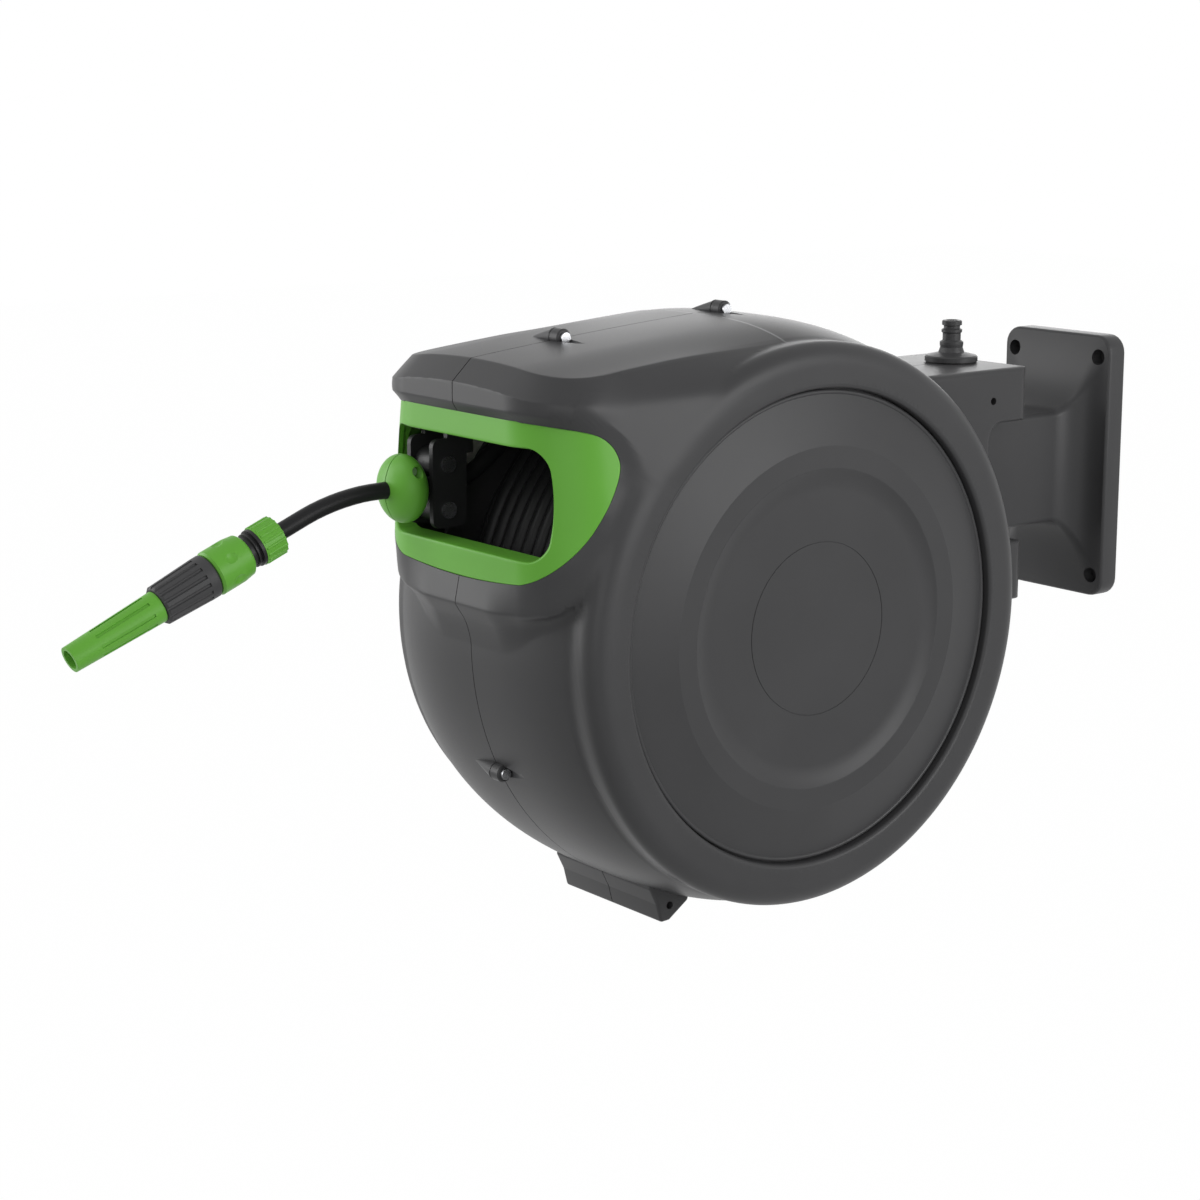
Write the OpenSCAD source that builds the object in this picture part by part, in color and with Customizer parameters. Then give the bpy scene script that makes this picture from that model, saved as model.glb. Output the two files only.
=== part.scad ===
// Wall mounted hose reel with a sprung drum, a hose guide that traverses, and a swinging wall bracket.
// Units are millimetres. The origin is the centre of the bracket's wall face.
// +Z is up and +Y goes into the wall.

/* [Casing] */
// Diameter of the round body at the middle seam
body_d = 446; // [400:1:520]
// Step from the round body down to the side rims
lip_step = 12; // [10:0.5:14]
// Width over the two side rims
case_w = 258; // [220:1:300]
// Wall thickness of the casing halves
wall = 4; // [3:0.5:4.5]
// Width of a side rim, down to the recess of its cover
rim_w = 32.5; // [31:0.5:36]
// Thickness of the side covers
cover_t = 3; // [2:0.5:4]

/* [Nose] */
// How far the brow stands out before the round body
nose_out = 14; // [9:1:22]
// Step from a side rim to the flat side of the nose
nose_side_step = 11; // [8:0.5:15]
// Radius of the upright corners of the nose
nose_corner_r = 45; // [30:1:60]
// Flat side of the nose to the mouth
mouth_side = 21; // [18:0.5:25]
// Height of the mouth
mouth_h = 79; // [74:1:80]

/* [Wall bracket] */
// Width of the wall plate
plate_w = 118; // [112:1:130]
// Height of the wall plate
plate_h = 221; // [190:1:255]
// Thickness of the wall plate
plate_t = 20; // [14:1:24]
// Side edge of the plate to the wall holes
bolt_edge_x = 12; // [10:0.5:15]
// Top and bottom edges of the plate to the wall holes
bolt_edge_z = 18; // [15:0.5:22]
// Radius of the wall screws' holes
bolt_r = 4; // [3:0.25:5]
// Height of the swing arm
arm_h = 93.6; // [88:0.4:98]
// Width of the swing arm
arm_w = 56; // [48:1:58]
// Wall to the swing axis
pivot_to_wall = 146; // [142:1:160]
// Back of the round body to the swing axis
pivot_back = 36; // [34:1:51]
// Height of the swing axis's middle over the drum axis
drop = 72.5; // [70:0.5:75]

/* [Hose] */
// Outside diameter of the hose
hose_d = 12.5; // [12:0.1:12.8]
// Spacing of the turns on the drum, which is also the guide's travel in one turn
wind_pitch = 16; // [14:0.5:18]
// Edge of the drum's flanges down to the buried layers of hose
core_down = 21.1; // [20.5:0.1:27]

/* [Drum] */
// Room between the drum's flanges and the side rims' radius
flange_room = 19; // [18:0.5:23]
// Room between a flange and the side wall of the casing
drum_side_room = 22; // [21.5:0.5:24]
// Thickness of a flange
flange_t = 4; // [3:0.5:4.5]
// Radius of the fixed axle
axle_r = 12; // [10:0.5:13]

/* [Gears] */
// Tooth size of the gears, as pitch diameter over teeth
gear_m = 3; // [2.9:0.05:3]
// Teeth on the drum gear and on the screw gear
small_teeth = 20; // [18:1:20]
// Teeth on the idler gear past the fewest that reach the screw
idler_spare_teeth = 1; // [1:1:2]
// Thickness of the gears
gear_t = 8; // [6:0.5:8]

/* [Nozzle] */
// Radius of the release collar
collar_r = 16.9; // [16:0.1:18]
// Length of the release collar
collar_l = 29.5; // [28:0.5:31]
// Length of the grip
grip_l = 44.5; // [40:0.5:50]
// Length of the spray tip
tip_l = 73; // [65:1:80]

/* [Hidden] */

// Colours
case_grey = [0.25, 0.25, 0.26];
cover_grey = [0.24, 0.24, 0.25];
leaf_green = [0.30, 0.62, 0.20];
dark_plastic = [0.12, 0.12, 0.12];
hose_black = [0.06, 0.06, 0.06];
drum_grey = [0.35, 0.35, 0.36];
steel = [0.72, 0.73, 0.75];
brass = [0.75, 0.62, 0.32];
gear_white = [0.82, 0.82, 0.78];

// Clearances and the overrun of cuts
overrun = 1;
run_gap = 0.05;
seat_gap = 0.1;
loose_gap = 0.3;
$fn = 64;

// Half sizes
body_r = body_d/2;
lip_r = body_r - lip_step;
rim_x = case_w/2;
hose_r = hose_d/2;
recess_r = lip_r - rim_w;
reach = body_r + pivot_back + pivot_to_wall;

// Casing: crown of the body, valley beside the rim, rim and side wall
rim_band_w = 31;
crown_end = rim_x - rim_band_w;
crown_drop = 11;
valley_w = 2;
valley_depth = 3;
rim_round_r = 16;
rim_round_x = 13;
rim_flat_r = lip_r - rim_round_r;
side_wall_depth = 19;
wall_x = rim_x - side_wall_depth;
wall_out_x = wall_x + wall;
rim_in_r = recess_r + wall;
rim_cavity_x = rim_x - wall;
hub_boss_r = 20;
hub_boss_l = 5;
axle_end_x = wall_out_x + wall;

// Nose: side outline, brow, chin and the slope of its flanks
nose_front = body_r + nose_out;
nose_hw = rim_x - nose_side_step;
nose_rise = 1;
nose_top_back = body_r + nose_rise;
nose_fall = 21.5;
brow_r = 18;
brow_down = 51;
brow_low_z = body_r - brow_down;
brow_step = 2.5;
bezel_h = 117;
brow_under = 5;
brow_under_z = brow_low_z - brow_under;
chin_top_z = brow_under_z - bezel_h;
chin_drop = 4;
chin_step = 1.5;
chin_low_down = 22;
chin_low_z = chin_top_z - chin_low_down;
chin_back = 12;
chin_back_down = 54;
chin_back_z = chin_top_z - chin_back_down;
chin_end_down = 100;
chin_end_z = chin_top_z - chin_end_down;
chin_sink = 3.3;
chin_end_y = chin_sink - sqrt(pow(body_r, 2) - pow(chin_end_z, 2));
chin_plan_r = 200;
nose_low_shares = [[0.907, 0.103], [0.823, 0.273], [0.717, 0.615], [0, 0.615]];
flank_run = 145;
flank_r = rim_flat_r + flank_run;
flank_fall = 36;
nose_crown_r = 693;
nose_tilt = atan2(nose_fall, nose_front);

// Bezel: its outline on the nose's flank as shares of its depth and height, from the front and the foot
bezel_over = 3;
bezel_front = nose_front + bezel_over;
bezel_tip_share = 0.66;
bezel_tip_z = chin_top_z + bezel_tip_share*bezel_h;
bezel_back_gap = 7.7;
bezel_depth = bezel_front - bezel_back_gap - sqrt(pow(lip_r, 2) - pow(bezel_tip_z, 2));
bezel_shares = [[0, 0], [0.09, 0.015], [0.23, 0.11], [0.47, 0.24], [0.70, 0.37], [0.89, 0.53],
    [0.97, 0.66], [0.955, 0.77], [0.83, 0.87], [0.58, 0.95], [0.28, 0.99], [0, 1]];
bezel_inset = 1.5;
bezel_t = 4;
bezel_lip = 4;
bezel_lip_t = 2.5;
mouth_w = 2*(nose_hw - mouth_side);
mouth_floor_up = 20;
mouth_floor_z = chin_top_z + mouth_floor_up;
mouth_r = 14;
mouth_wall = 3;
mouth_tube_l = 25;
mouth_back = nose_front - mouth_tube_l;

// Side covers: groove round them, heights of their bands and the skirt
cover_groove = 2.2;
cover_edge_down = 9;
cover_ring_up = 1;
cover_dish_down = 1.5;
cover_r = recess_r - cover_groove;
cover_edge_x = rim_x - cover_edge_down;
cover_ring_x = rim_x + cover_ring_up;
cover_dish_x = rim_x - cover_dish_down;
cover_cone_w = 40.3;
cover_ring_r = cover_r - cover_cone_w;
cover_ring_w = 17;
cover_ring_in_r = cover_ring_r - cover_ring_w;
cover_edge_w = 16;
cover_dish_r = cover_ring_in_r - cover_edge_w;
skirt_t = 4;

// Seam bosses: their places as shares of the body radius, screws and tails
boss_r = 6.5;
boss_l = 10;
boss_screw_r = 2;
boss_head_r = 4;
boss_head_t = 2.5;
boss_tail_l = 24;
boss_tail_r = 0.8;
boss_shares = [[-0.652, 0.96], [0.031, 1.01], [-0.902, -0.456], [0.505, -0.875]];
trough_r = 4.6;
trough_l = 40;
trough_end_r = 0.5;
boss_places = boss_shares*body_r;

// Foot under the front of the body
foot_hw = plate_w/2;
foot_shares = [[-0.485, -0.88], [-0.437, -0.946], [-0.415, -1.013], [-0.377, -1.011], [-0.296, -0.955],
    [-0.27, -0.85], [-0.45, -0.80]];
foot_hole_share = [-0.379, -0.957];
foot_hole_y = foot_hole_share[0]*body_r;
foot_hole_z = foot_hole_share[1]*body_r;
foot_hole_r = 3;
foot_hole_l = 12;

// Clevis behind the body that swings on the bracket's arm
pivot_y = reach - pivot_to_wall;
clevis_hw = 59;
lug_l = 34;
clevis_back = pivot_y + lug_l;
clevis_corner_r = 12;
clevis_up = 93.5;
clevis_top = drop + clevis_up;
clevis_down = 98.5;
clevis_low = drop - clevis_down;
clevis_wall = 4.5;
slot_low = drop - arm_h/2;
slot_top = drop + arm_h/2;
cheek_gap = 12;
cheek_back = pivot_y - cheek_gap;
pocket_hw = 42;
pocket_gap = 2;
pocket_front = pivot_y - arm_w/2 - pocket_gap;
pivot_boss_r = 19;
lug_hole_front = 10.5;
lug_hole_y = pivot_y - lug_hole_front;
lug_hole_up = 68;
lug_hole_z = drop + lug_hole_up;
lug_hole_r = 3;
lug_hole_l = 8;

// Swing pivot: tube, bushes and water inlet
pivot_r = 12;
pivot_bore_r = 6;
bush_r = 15.5;
bush_flange_r = 21;
bush_flange_t = 2;
bush_l = 22;
washer_t = 1.2;
washer_r = 20.5;
flange_disc_r = 21.5;
nipple_z = [0, 3.6, 4.6, 7, 11, 13.5, 15.5, 17, 22.5, 23.5, 25.5, 26.5, 28.5, 29.2, 32.2, 33];
nipple_r = [21.5, 21.5, 20.4, 10.6, 9.2, 9.6, 9.6, 7.4, 7.4, 8.4, 8.4, 6.6, 6.6, 8.1, 8.1, 7.2];

// Wall bracket: flare from the arm to the plate, screw holes and seats, and the hollow back
bolt_dx = plate_w - 2*bolt_edge_x;
bolt_dz = plate_h - 2*bolt_edge_z;
plate_corner_r = 15;
flare_l = 30;
flare_rim = 2;
flare_steps = 12;
bolt_seat_r = 6.5;
bolt_seat_t = 9;
back_depth = 11;
back_rim = 6;
back_boss_r = 10;
back_rib_t = 4;

// Drum: flanges, buried hose and barrel inside the casing
drum_hw = wall_x - drum_side_room;
flange_r = lip_r - flange_room;
core_r = flange_r - core_down;
core_t = 10.9;
barrel_r = core_r - core_t;

// Feed pipe from the pivot tube to the axle
pipe_r = 5.5;
pipe_bore_r = 4;
pipe_bend_r = 16;
pipe_up = 75.5;
pipe_z = drop + pipe_up;
pipe_room = 5.5;
pipe_run_r = flange_r + pipe_room + pipe_r;
pipe_tilt = atan2(pipe_z, pivot_y);
pipe_start_r = norm([pivot_y, pipe_z]) - pivot_r;
union_r = 18;
union_l = 12;
union_x = wall_x - union_l;
pipe_x = union_x + union_l/2;

// Drum: hubs, ratchet and spring
barrel_wall = 4;
hub_r = 24;
hub_l = 34;
spring_hub_l = 9;
drum_bush_r = 16;
drum_bush_l = 20;
spring_bush_l = 12;
flange_window_r = 22;
flange_window_n = 6;
flange_window_in = 42;
flange_window_place_r = barrel_r - flange_window_in;
ratchet_teeth = 12;
ratchet_r = 90;
ratchet_depth = 8;
ratchet_t = 5;
ratchet_in_r = 60;
spring_r_in = 35;
spring_r_out = 98;
spring_turns = 9;
spring_t = 1.4;
spring_w = 40;
spring_steps = 24;
arbor_r = 34.4;
cup_r = 104;
cup_wall = 3;
cup_floor = 3;
spring_back = 10;
spring_x = drum_hw - spring_back - spring_w;
seal_r = 1.6;
outlet_r = 7;
outlet_bore_r = 4.5;
outlet_hub_r = 26;
outlet_hub_l = 24;
outlet_gap = 2;
outlet_x = hub_l + outlet_gap + outlet_hub_l/2 - drum_hw;
seal_places = [outlet_x - outlet_hub_l/2, outlet_x + outlet_hub_l/2];

// Outer layer of hose: 24 rings of 6 sides in a turn, left by its lead on a tangent
wind_rings = 24;
wind_sides = 6;
wind_gap = 0.35;
wind_r = (core_r + wind_gap + hose_r*cos(180/wind_sides))/cos(180/wind_rings);
lead_gap = 0.5;
lead_r = wind_r + hose_d + lead_gap;
guide_side = 24;
guide_x = guide_side - drum_hw;
wind_end_gap = 1;
wind_turns = floor((drum_hw - wind_end_gap - hose_r - guide_x)/wind_pitch);

// Hose guide: rollers, carriage, screw and rail
small_r = gear_m*small_teeth/2;
hose_up = 34;
hose_z = mouth_floor_z + hose_up;
roller_in = 29;
roller_y = roller_in - nose_front;
roller_r = 10.5;
roller_gap = 0.25;
roller_waist = 0.4;
roller_land_share = 0.8;
roller_dz = hose_r + roller_gap + roller_r;
roller_pin_r = 3.5;
pin_head_r = 6.2;
pin_head_t = 1.2;
plate_gap = 24;
guide_plate_t = 4.5;
guide_in = 15;
guide_l = 30;
guide_front = guide_in - nose_front;
guide_back = guide_front + guide_l;
guide_down = 30;
guide_up = 36;
guide_low = hose_z - guide_down;
guide_top = hose_z + guide_up;
guide_corner_r = 6;
neck_step = 13;
neck_l = 23;
neck_front = guide_front + neck_step;
neck_back = neck_front + neck_l;
screw_up = 58;
gear_front_room = 25;
screw_in = max(bezel_depth - bezel_over, small_r + gear_m + gear_front_room);
screw_y = screw_in - nose_front;
screw_z = hose_z + screw_up;
screw_r = 9;
screw_groove = 3.5;
screw_groove_angle = 120;
screw_steps = 10;
screw_land_steps = 7;
screw_groove_steps = 3;
screw_hole_r = 10.2;
screw_journal_r = 6;
screw_boss_r = 15;
rail_back = 36;
rail_up = 82;
rail_y = screw_y + rail_back;
rail_z = hose_z + rail_up;
rail_r = 6;
rail_boss_r = 11;
bearing_r = 9;
bearing_l = 7;
bearing_in = 25;
bearing_x = rim_x - bearing_in;
nose_boss_r = 12;
nose_boss_lead = 0.5;
nose_boss_x = bearing_x - nose_boss_lead;
follower_r = 1.8;
follower_tip = 6.4;
block_t = 20;

// Lead of hose from the rollers to the drum: a bend behind the rollers and the slope of its tangent
lead_bend_back = 8;
lead_steps = 6;
lead_bend_r = 50;
lead_bend_y = roller_y + lead_bend_back;
lead_slope_most = 60;
lead_slope_tries = 30;
function slope_error(a) = let (y = lead_bend_y + lead_bend_r*sin(a), z = hose_z + lead_bend_r*(1 - cos(a)))
    -y*sin(a) + z*cos(a) - lead_r;
function solve_slope(lo, hi, n) = n == 0 ? (lo + hi)/2
    : let (mid = (lo + hi)/2)
        slope_error(mid) < 0 ? solve_slope(mid, hi, n - 1) : solve_slope(lo, mid, n - 1);
lead_slope = solve_slope(0, lead_slope_most, lead_slope_tries);
lead_end_y = lead_bend_y + lead_bend_r*sin(lead_slope);
lead_end_z = hose_z + lead_bend_r*(1 - cos(lead_slope));
lead_l = lead_end_y*-cos(lead_slope) - lead_end_z*sin(lead_slope);

// Gear train at the left flange
gear_gap = 2;
gear_x = drum_hw + flange_t + gear_gap;
gear_play = 0.35;
gear_steps = 3;
pressure_angle = 20;
gear_hub_r = 22;
gear_root_share = 1.25;
idler_hole_place_share = 0.58;
idler_hole_share = 0.2;
idler_pin_r = 5;
idler_boss_r = 10;
screw_reach = norm([screw_y, screw_z]);
idler_teeth = ceil((screw_reach/small_r - 2)*small_teeth/2) + idler_spare_teeth;
idler_r = gear_m*idler_teeth/2;
train_reach = small_r + idler_r;
screw_angle = atan2(screw_z, screw_y);
idler_angle = screw_angle - acos(screw_reach/2/train_reach);
idler_y = train_reach*cos(idler_angle);
idler_z = train_reach*sin(idler_angle);
mesh_angle = atan2(screw_z - idler_z, screw_y - idler_y);
idler_phase = idler_angle + 180 + 180/idler_teeth;
mesh_shift = mesh_angle - idler_phase;
screw_phase = mesh_angle + 180 + mesh_shift*idler_teeth/small_teeth + 180/small_teeth;

// Lock pawl beside the ratchet
pawl_out = 32;
pawl_place_r = ratchet_r + pawl_out;
pawl_angle = 90;
pawl_pin_r = 4;
pawl_boss_r = 9;
pawl_gap = 0.8;
pawl_x = drum_hw + flange_t + pawl_gap;
pawl_t = 4;
pawl_eye_r = 8;
pawl_clear = 1;
pawl_nose_r = ratchet_r + pawl_clear;
pawl_nose_w = 5;
pawl_spring_r = 6;
pawl_wire_r = 0.7;
pawl_coils = 3;
pawl_coil_pitch = 1.6;
pawl_spring_sides = 6;
pawl_spring_rings = 8;

// Stopper on the hose: two half shells round it
stopper_r = 25.5;
stopper_hl = 15.4;
stopper_y = guide_front - stopper_hl - loose_gap;
stopper_steps = 12;
stopper_bore_r = hose_r + seat_gap;
stopper_screw_r = 2;
stopper_screw_z = 14;
stopper_head_r = 3.4;
stopper_head_x = 12;

// Free hose: its route seen from the side, from inside the stopper to inside the nut
hose_sides = 10;
hose_start_y = stopper_y - loose_gap;
hose_route = [[0, 0], [-10, 0], [-20, 0], [-28, -0.2], [-36, -0.7], [-44, -1.7], [-52, -3], [-60, -4.7],
    [-68, -6.8], [-76, -9.3], [-84, -12.3], [-92, -15.6], [-100, -18.9], [-108, -22.2], [-117, -25.9]];

// Hose end: nut, neck, collar, grip and tip along the nozzle axis, from the hose side of the nut
nozzle_out = 107.7;
nozzle_down = 22.1;
nozzle_y = hose_start_y - nozzle_out;
nozzle_z = hose_z - nozzle_down;
nozzle_dip = 22.4;
nut_l = 17.7;
nut_r = 15;
nut_rib_n = 18;
nut_rib_r = 1.3;
nut_seat = 11;
neck_r = 11.2;
neck_ring_r = 14;
neck_ring_l = 2.4;
neck_band_r = 13;
neck_band_l = 1;
connector_neck_l = 10.6;
neck_bore_r = 8;
collar_s = nut_l + connector_neck_l;
collar_wall_r = 12.2;
collar_taper = 1.2;
collar_chamfer = 1.5;
collar_dimple_r = 9;
collar_dimple_depth = 1.3;
collar_dimple_share = 0.55;
body_end_gap = 2;
body_end_s = collar_s + collar_l - body_end_gap;
grip_gap = 0.5;
grip_s = collar_s + collar_l + grip_gap;
grip_r = 16.2;
grip_end_r = 14.7;
grip_flute_n = 16;
grip_flute_r = 1.4;
grip_shoulder_l = 7;
spigot_r = 7.6;
spigot_l = 18;
water_r = 3.5;
stem_r = 7;
stem_l = 46;
seal_ring_r = 1;
seal_sink = 0.65;
tip_gap = 0.4;
tip_s = grip_s + grip_l + tip_gap;
tip_r = 11.8;
tip_end_r = 9.6;
tip_mouth_r = 7;
tip_mouth_l = 6;
tip_jet_r = 2.5;
tip_slot_n = 8;
tip_slot_w = 2.4;
tip_slot_depth = 0.9;
tip_slot_start = 8;
tip_slot_l = 44;

// Points on an arc
function arc(c, r, a0, a1, n) = [for (i = [0:n]) let (a = a0 + (a1 - a0)*i/n)
    [c[0] + r*cos(a), c[1] + r*sin(a)]];

// Outline of a rectangle with round corners
function round_box(x0, x1, y0, y1, r) = concat(
    arc([x1 - r, y1 - r], r, 0, 90, 6), arc([x0 + r, y1 - r], r, 90, 180, 6),
    arc([x0 + r, y0 + r], r, 180, 270, 6), arc([x1 - r, y0 + r], r, 270, 360, 6));

// Placing: the casing's frame has its origin on the drum axis at the seam
module at_drum() { translate([0, -reach, -drop]) children(); }
module at_point(y, z) { translate([0, y, z]) children(); }
module mirrored_x() { mirror([1, 0, 0]) children(); }
module along_x(x0, x1) { translate([x0, 0, 0]) rotate([90, 0, 90]) linear_extrude(x1 - x0) children(); }
module along_y(y0, y1) { translate([0, y1, 0]) rotate([90, 0, 0]) linear_extrude(y1 - y0) children(); }
module x_rod(r, x0, x1) { translate([x0, 0, 0]) rotate([0, 90, 0]) cylinder(r = r, h = x1 - x0); }
module x_tube(r, bore, x0, x1) {
    difference() {
        x_rod(r, x0, x1);
        x_rod(bore, x0 - overrun, x1 + overrun);
    }
}
module z_rod(r, z0, z1) { translate([0, 0, z0]) cylinder(r = r, h = z1 - z0); }
module x_turned(points) { rotate([0, 90, 0]) rotate_extrude() polygon(points); }
module at_nozzle(s) {
    translate([guide_x, nozzle_y, nozzle_z]) rotate([90 + nozzle_dip, 0, 0])
        translate([0, 0, s]) children();
}

// Round body of the casing: crowned barrel with rims, as a turned solid for the +X half
function crown(x, t) = body_r - t - crown_drop*pow(x/crown_end, 3);
function crown_points(t) = [for (i = [0:8]) let (x = crown_end*i/8) [crown(x, t), x]];
function rim_points(t) = [for (i = [0:6]) let (a = 90*i/6)
    [rim_flat_r - t + rim_round_r*cos(a), rim_x - t - rim_round_x + rim_round_x*sin(a)]];
module body_outside() {
    x_turned(concat([[0, 0]], crown_points(0),
        [[lip_r - valley_depth, crown_end + valley_w], [lip_r, crown_end + 2*valley_w]],
        rim_points(0), [[0, rim_x]]));
}
module body_inside() {
    x_turned(concat([[0, -overrun], [crown(0, wall), -overrun]], crown_points(wall),
        rim_points(wall), [[rim_in_r, rim_cavity_x], [rim_in_r, wall_x], [0, wall_x]]));
}

// Nose at an inset from its outside: side outline, plan with round corners, sloping flanks and crowned top
function top_at(y) = nose_top_back + nose_fall*y/nose_front;
function nose_side(t) = concat([[0, nose_top_back - t]],
    arc([-nose_front + brow_r, top_at(-nose_front + brow_r) - brow_r], brow_r - t, 90, 180, 6),
    [[-nose_front + t, brow_low_z], [-nose_front + brow_step + t, brow_under_z],
     [-nose_front + brow_step + t, chin_top_z], [-nose_front + chin_step + t, chin_top_z - chin_drop],
     [-nose_front + chin_step + t, chin_low_z + t]],
    [for (s = nose_low_shares) [-s[0]*nose_front, chin_low_z + s[1]*bezel_h + t]]);
function chin_side(t) = [[-nose_front + chin_step + t, chin_top_z - chin_drop],
    [-nose_front + chin_step + t, chin_low_z], [-nose_front + chin_back + t, chin_back_z],
    [chin_end_y + t, chin_end_z], [-body_r/2, chin_end_z], [-body_r/2, chin_top_z - chin_drop]];
function nose_plan(t) = concat([[nose_hw - t, 0]], [[-nose_hw + t, 0]],
    arc([-nose_hw + nose_corner_r, -nose_front + nose_corner_r], nose_corner_r - t, 180, 270, 10),
    arc([nose_hw - nose_corner_r, -nose_front + nose_corner_r], nose_corner_r - t, 270, 360, 10));
module nose_flanks(t) {
    x_turned([[0, -rim_x + t], [rim_flat_r, -rim_x + t], [flank_r, -rim_x + t + flank_fall],
        [flank_r, rim_x - t - flank_fall], [rim_flat_r, rim_x - t], [0, rim_x - t]]);
}
module nose_crown(t) {
    translate([0, 0, nose_top_back - nose_crown_r])
        rotate([90 + nose_tilt, 0, 0]) translate([0, 0, -body_r])
            cylinder(r = nose_crown_r - t, h = 2*body_r + nose_front, $fn = 128);
}
module nose(t) {
    intersection() {
        along_x(-rim_x, rim_x) polygon(nose_side(t));
        translate([0, 0, -body_r]) linear_extrude(2*body_r + nose_front) polygon(nose_plan(t));
        nose_flanks(t);
        nose_crown(t);
    }
}
module chin(t) {
    intersection() {
        along_x(-nose_hw + t, nose_hw - t) polygon(chin_side(t));
        at_point(chin_plan_r - nose_front, 0) z_rod(chin_plan_r - t, -body_r, body_r);
    }
}

// Outline of the bezel on the nose's flank, grown by a margin
module bezel_outline(grow) {
    polygon([for (s = bezel_shares)
        [-bezel_front + s[0]*(bezel_depth + grow), chin_top_z - grow + s[1]*(bezel_h + 2*grow)]]);
}
module bezel_prism(grow) { along_x(-rim_x, rim_x) bezel_outline(grow); }
module mouth_outline(grow) {
    polygon(round_box(-mouth_w/2 - grow, mouth_w/2 + grow,
        mouth_floor_z - grow, mouth_floor_z + mouth_h + grow, mouth_r + grow));
}
module mouth_prism(grow) { along_y(-bezel_front - overrun, -mouth_back + overrun) mouth_outline(grow); }

// Clevis: one block with a slot for the arm, hollow lugs and a bore for the pivot tube
module clevis_plan(t) {
    polygon(concat([[-clevis_hw + t, 0], [clevis_hw - t, 0]],
        arc([clevis_hw - clevis_corner_r, clevis_back - clevis_corner_r], clevis_corner_r - t, 0, 90, 6),
        arc([clevis_corner_r - clevis_hw, clevis_back - clevis_corner_r], clevis_corner_r - t, 90, 180, 6)));
}
module clevis_slab(t, z0, z1) { translate([0, 0, z0]) linear_extrude(z1 - z0) clevis_plan(t); }
module lug_hollow(z0, z1) {
    difference() {
        clevis_slab(clevis_wall, z0, z1);
        at_point(pivot_y, 0) z_rod(pivot_boss_r, z0 - overrun, z1 + overrun);
    }
}
module clevis() {
    difference() {
        clevis_slab(0, clevis_low, clevis_top);
        translate([-rim_x, cheek_back, slot_low - bush_flange_t - loose_gap])
            cube([2*rim_x, clevis_back, arm_h + 2*bush_flange_t + 2*loose_gap]);
        translate([-pocket_hw, pocket_front, slot_low - bush_flange_t - loose_gap])
            cube([2*pocket_hw, clevis_back, arm_h + 2*bush_flange_t + 2*loose_gap]);
        lug_hollow(slot_top + bush_flange_t + loose_gap + clevis_wall, clevis_top - clevis_wall);
        lug_hollow(clevis_low + clevis_wall, slot_low - bush_flange_t - loose_gap - clevis_wall);
        at_point(pivot_y, 0) z_rod(pivot_r + seat_gap, clevis_low + clevis_wall, clevis_top + overrun);
        for (side = [-1, 1])
            translate([side*clevis_hw, lug_hole_y, lug_hole_z]) x_rod(lug_hole_r, -lug_hole_l, lug_hole_l);
    }
}

// Foot bar under the front of the body
module foot() {
    difference() {
        along_x(-foot_hw, foot_hw) polygon([for (s = foot_shares) s*body_r]);
        for (side = [-1, 1])
            translate([side*foot_hw, foot_hole_y, foot_hole_z])
                x_rod(foot_hole_r, -foot_hole_l, foot_hole_l);
    }
}

// Bosses of the +X half that carry the axle, rail, screw bearing, idler pin and pawl pin
module inner_bosses(has_pawl) {
    x_rod(hub_boss_r, wall_x, wall_out_x + hub_boss_l);
    intersection() {
        difference() {
            union() {
                at_point(screw_y, screw_z) x_rod(nose_boss_r, nose_boss_x, rim_x);
                at_point(rail_y, rail_z) x_rod(nose_boss_r, nose_boss_x, rim_x);
            }
            bezel_prism(bezel_lip + loose_gap);
        }
        nose(wall/2);
    }
    if (has_pawl) pawl_place() x_rod(pawl_boss_r, pawl_x + pawl_t + 4*pawl_coil_pitch, wall_x + wall/2);
    if (!has_pawl)
        at_point(idler_y, idler_z) x_rod(idler_boss_r, gear_x + gear_t + loose_gap, wall_x + wall/2);
}
module pawl_place() { at_point(pawl_place_r*cos(pawl_angle), pawl_place_r*sin(pawl_angle)) children(); }

// One casing half, drawn on the +X side of the seam
module case_half(has_pawl) {
    difference() {
        union() {
            difference() {
                union() {
                    body_outside();
                    nose(0);
                    chin(0);
                    clevis();
                    foot();
                    for (p = boss_places) at_point(p[0], p[1]) x_rod(boss_r, 0, boss_l);
                }
                body_inside();
                difference() {
                    union() {
                        nose(wall);
                        chin(wall);
                    }
                    x_rod(rim_in_r, wall_x, rim_x + overrun);
                }
                x_rod(recess_r, wall_out_x, rim_x + overrun);
                bezel_prism(seat_gap);
            }
            inner_bosses(has_pawl);
        }
        translate([-2*rim_x, -2*reach, -2*reach]) cube([2*rim_x, 4*reach, 4*reach]);
        x_rod(axle_r + seat_gap, 0, axle_end_x + seat_gap);
        at_point(screw_y, screw_z) x_rod(bearing_r + seat_gap, 0, bearing_x + bearing_l + seat_gap);
        at_point(rail_y, rail_z) x_rod(rail_r + seat_gap, 0, bearing_x + bearing_l + seat_gap);
        for (p = boss_places)
            at_point(p[0], p[1]) x_rod(boss_screw_r + seat_gap, -overrun, boss_l + overrun);
        if (has_pawl) screw_troughs();
        if (has_pawl) pawl_place() x_rod(pawl_pin_r + seat_gap, 0, wall_x + overrun);
        if (!has_pawl) at_point(idler_y, idler_z) x_rod(idler_pin_r + seat_gap, 0, wall_x + overrun);
        feed_path() x_rod(pipe_r + loose_gap, -overrun, overrun);
        feed_bore();
    }
}
module screw_troughs() {
    for (p = boss_places)
        translate([boss_l, p[0], p[1]]) rotate([0, 90, 0])
            cylinder(r1 = trough_r, r2 = trough_end_r, h = trough_l);
}
module left_case() {
    color(case_grey) at_drum() mirrored_x() case_half(false);
    color(case_grey) at_drum() boss_tails();
}
module right_case() { color(case_grey) at_drum() case_half(true); }
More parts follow.
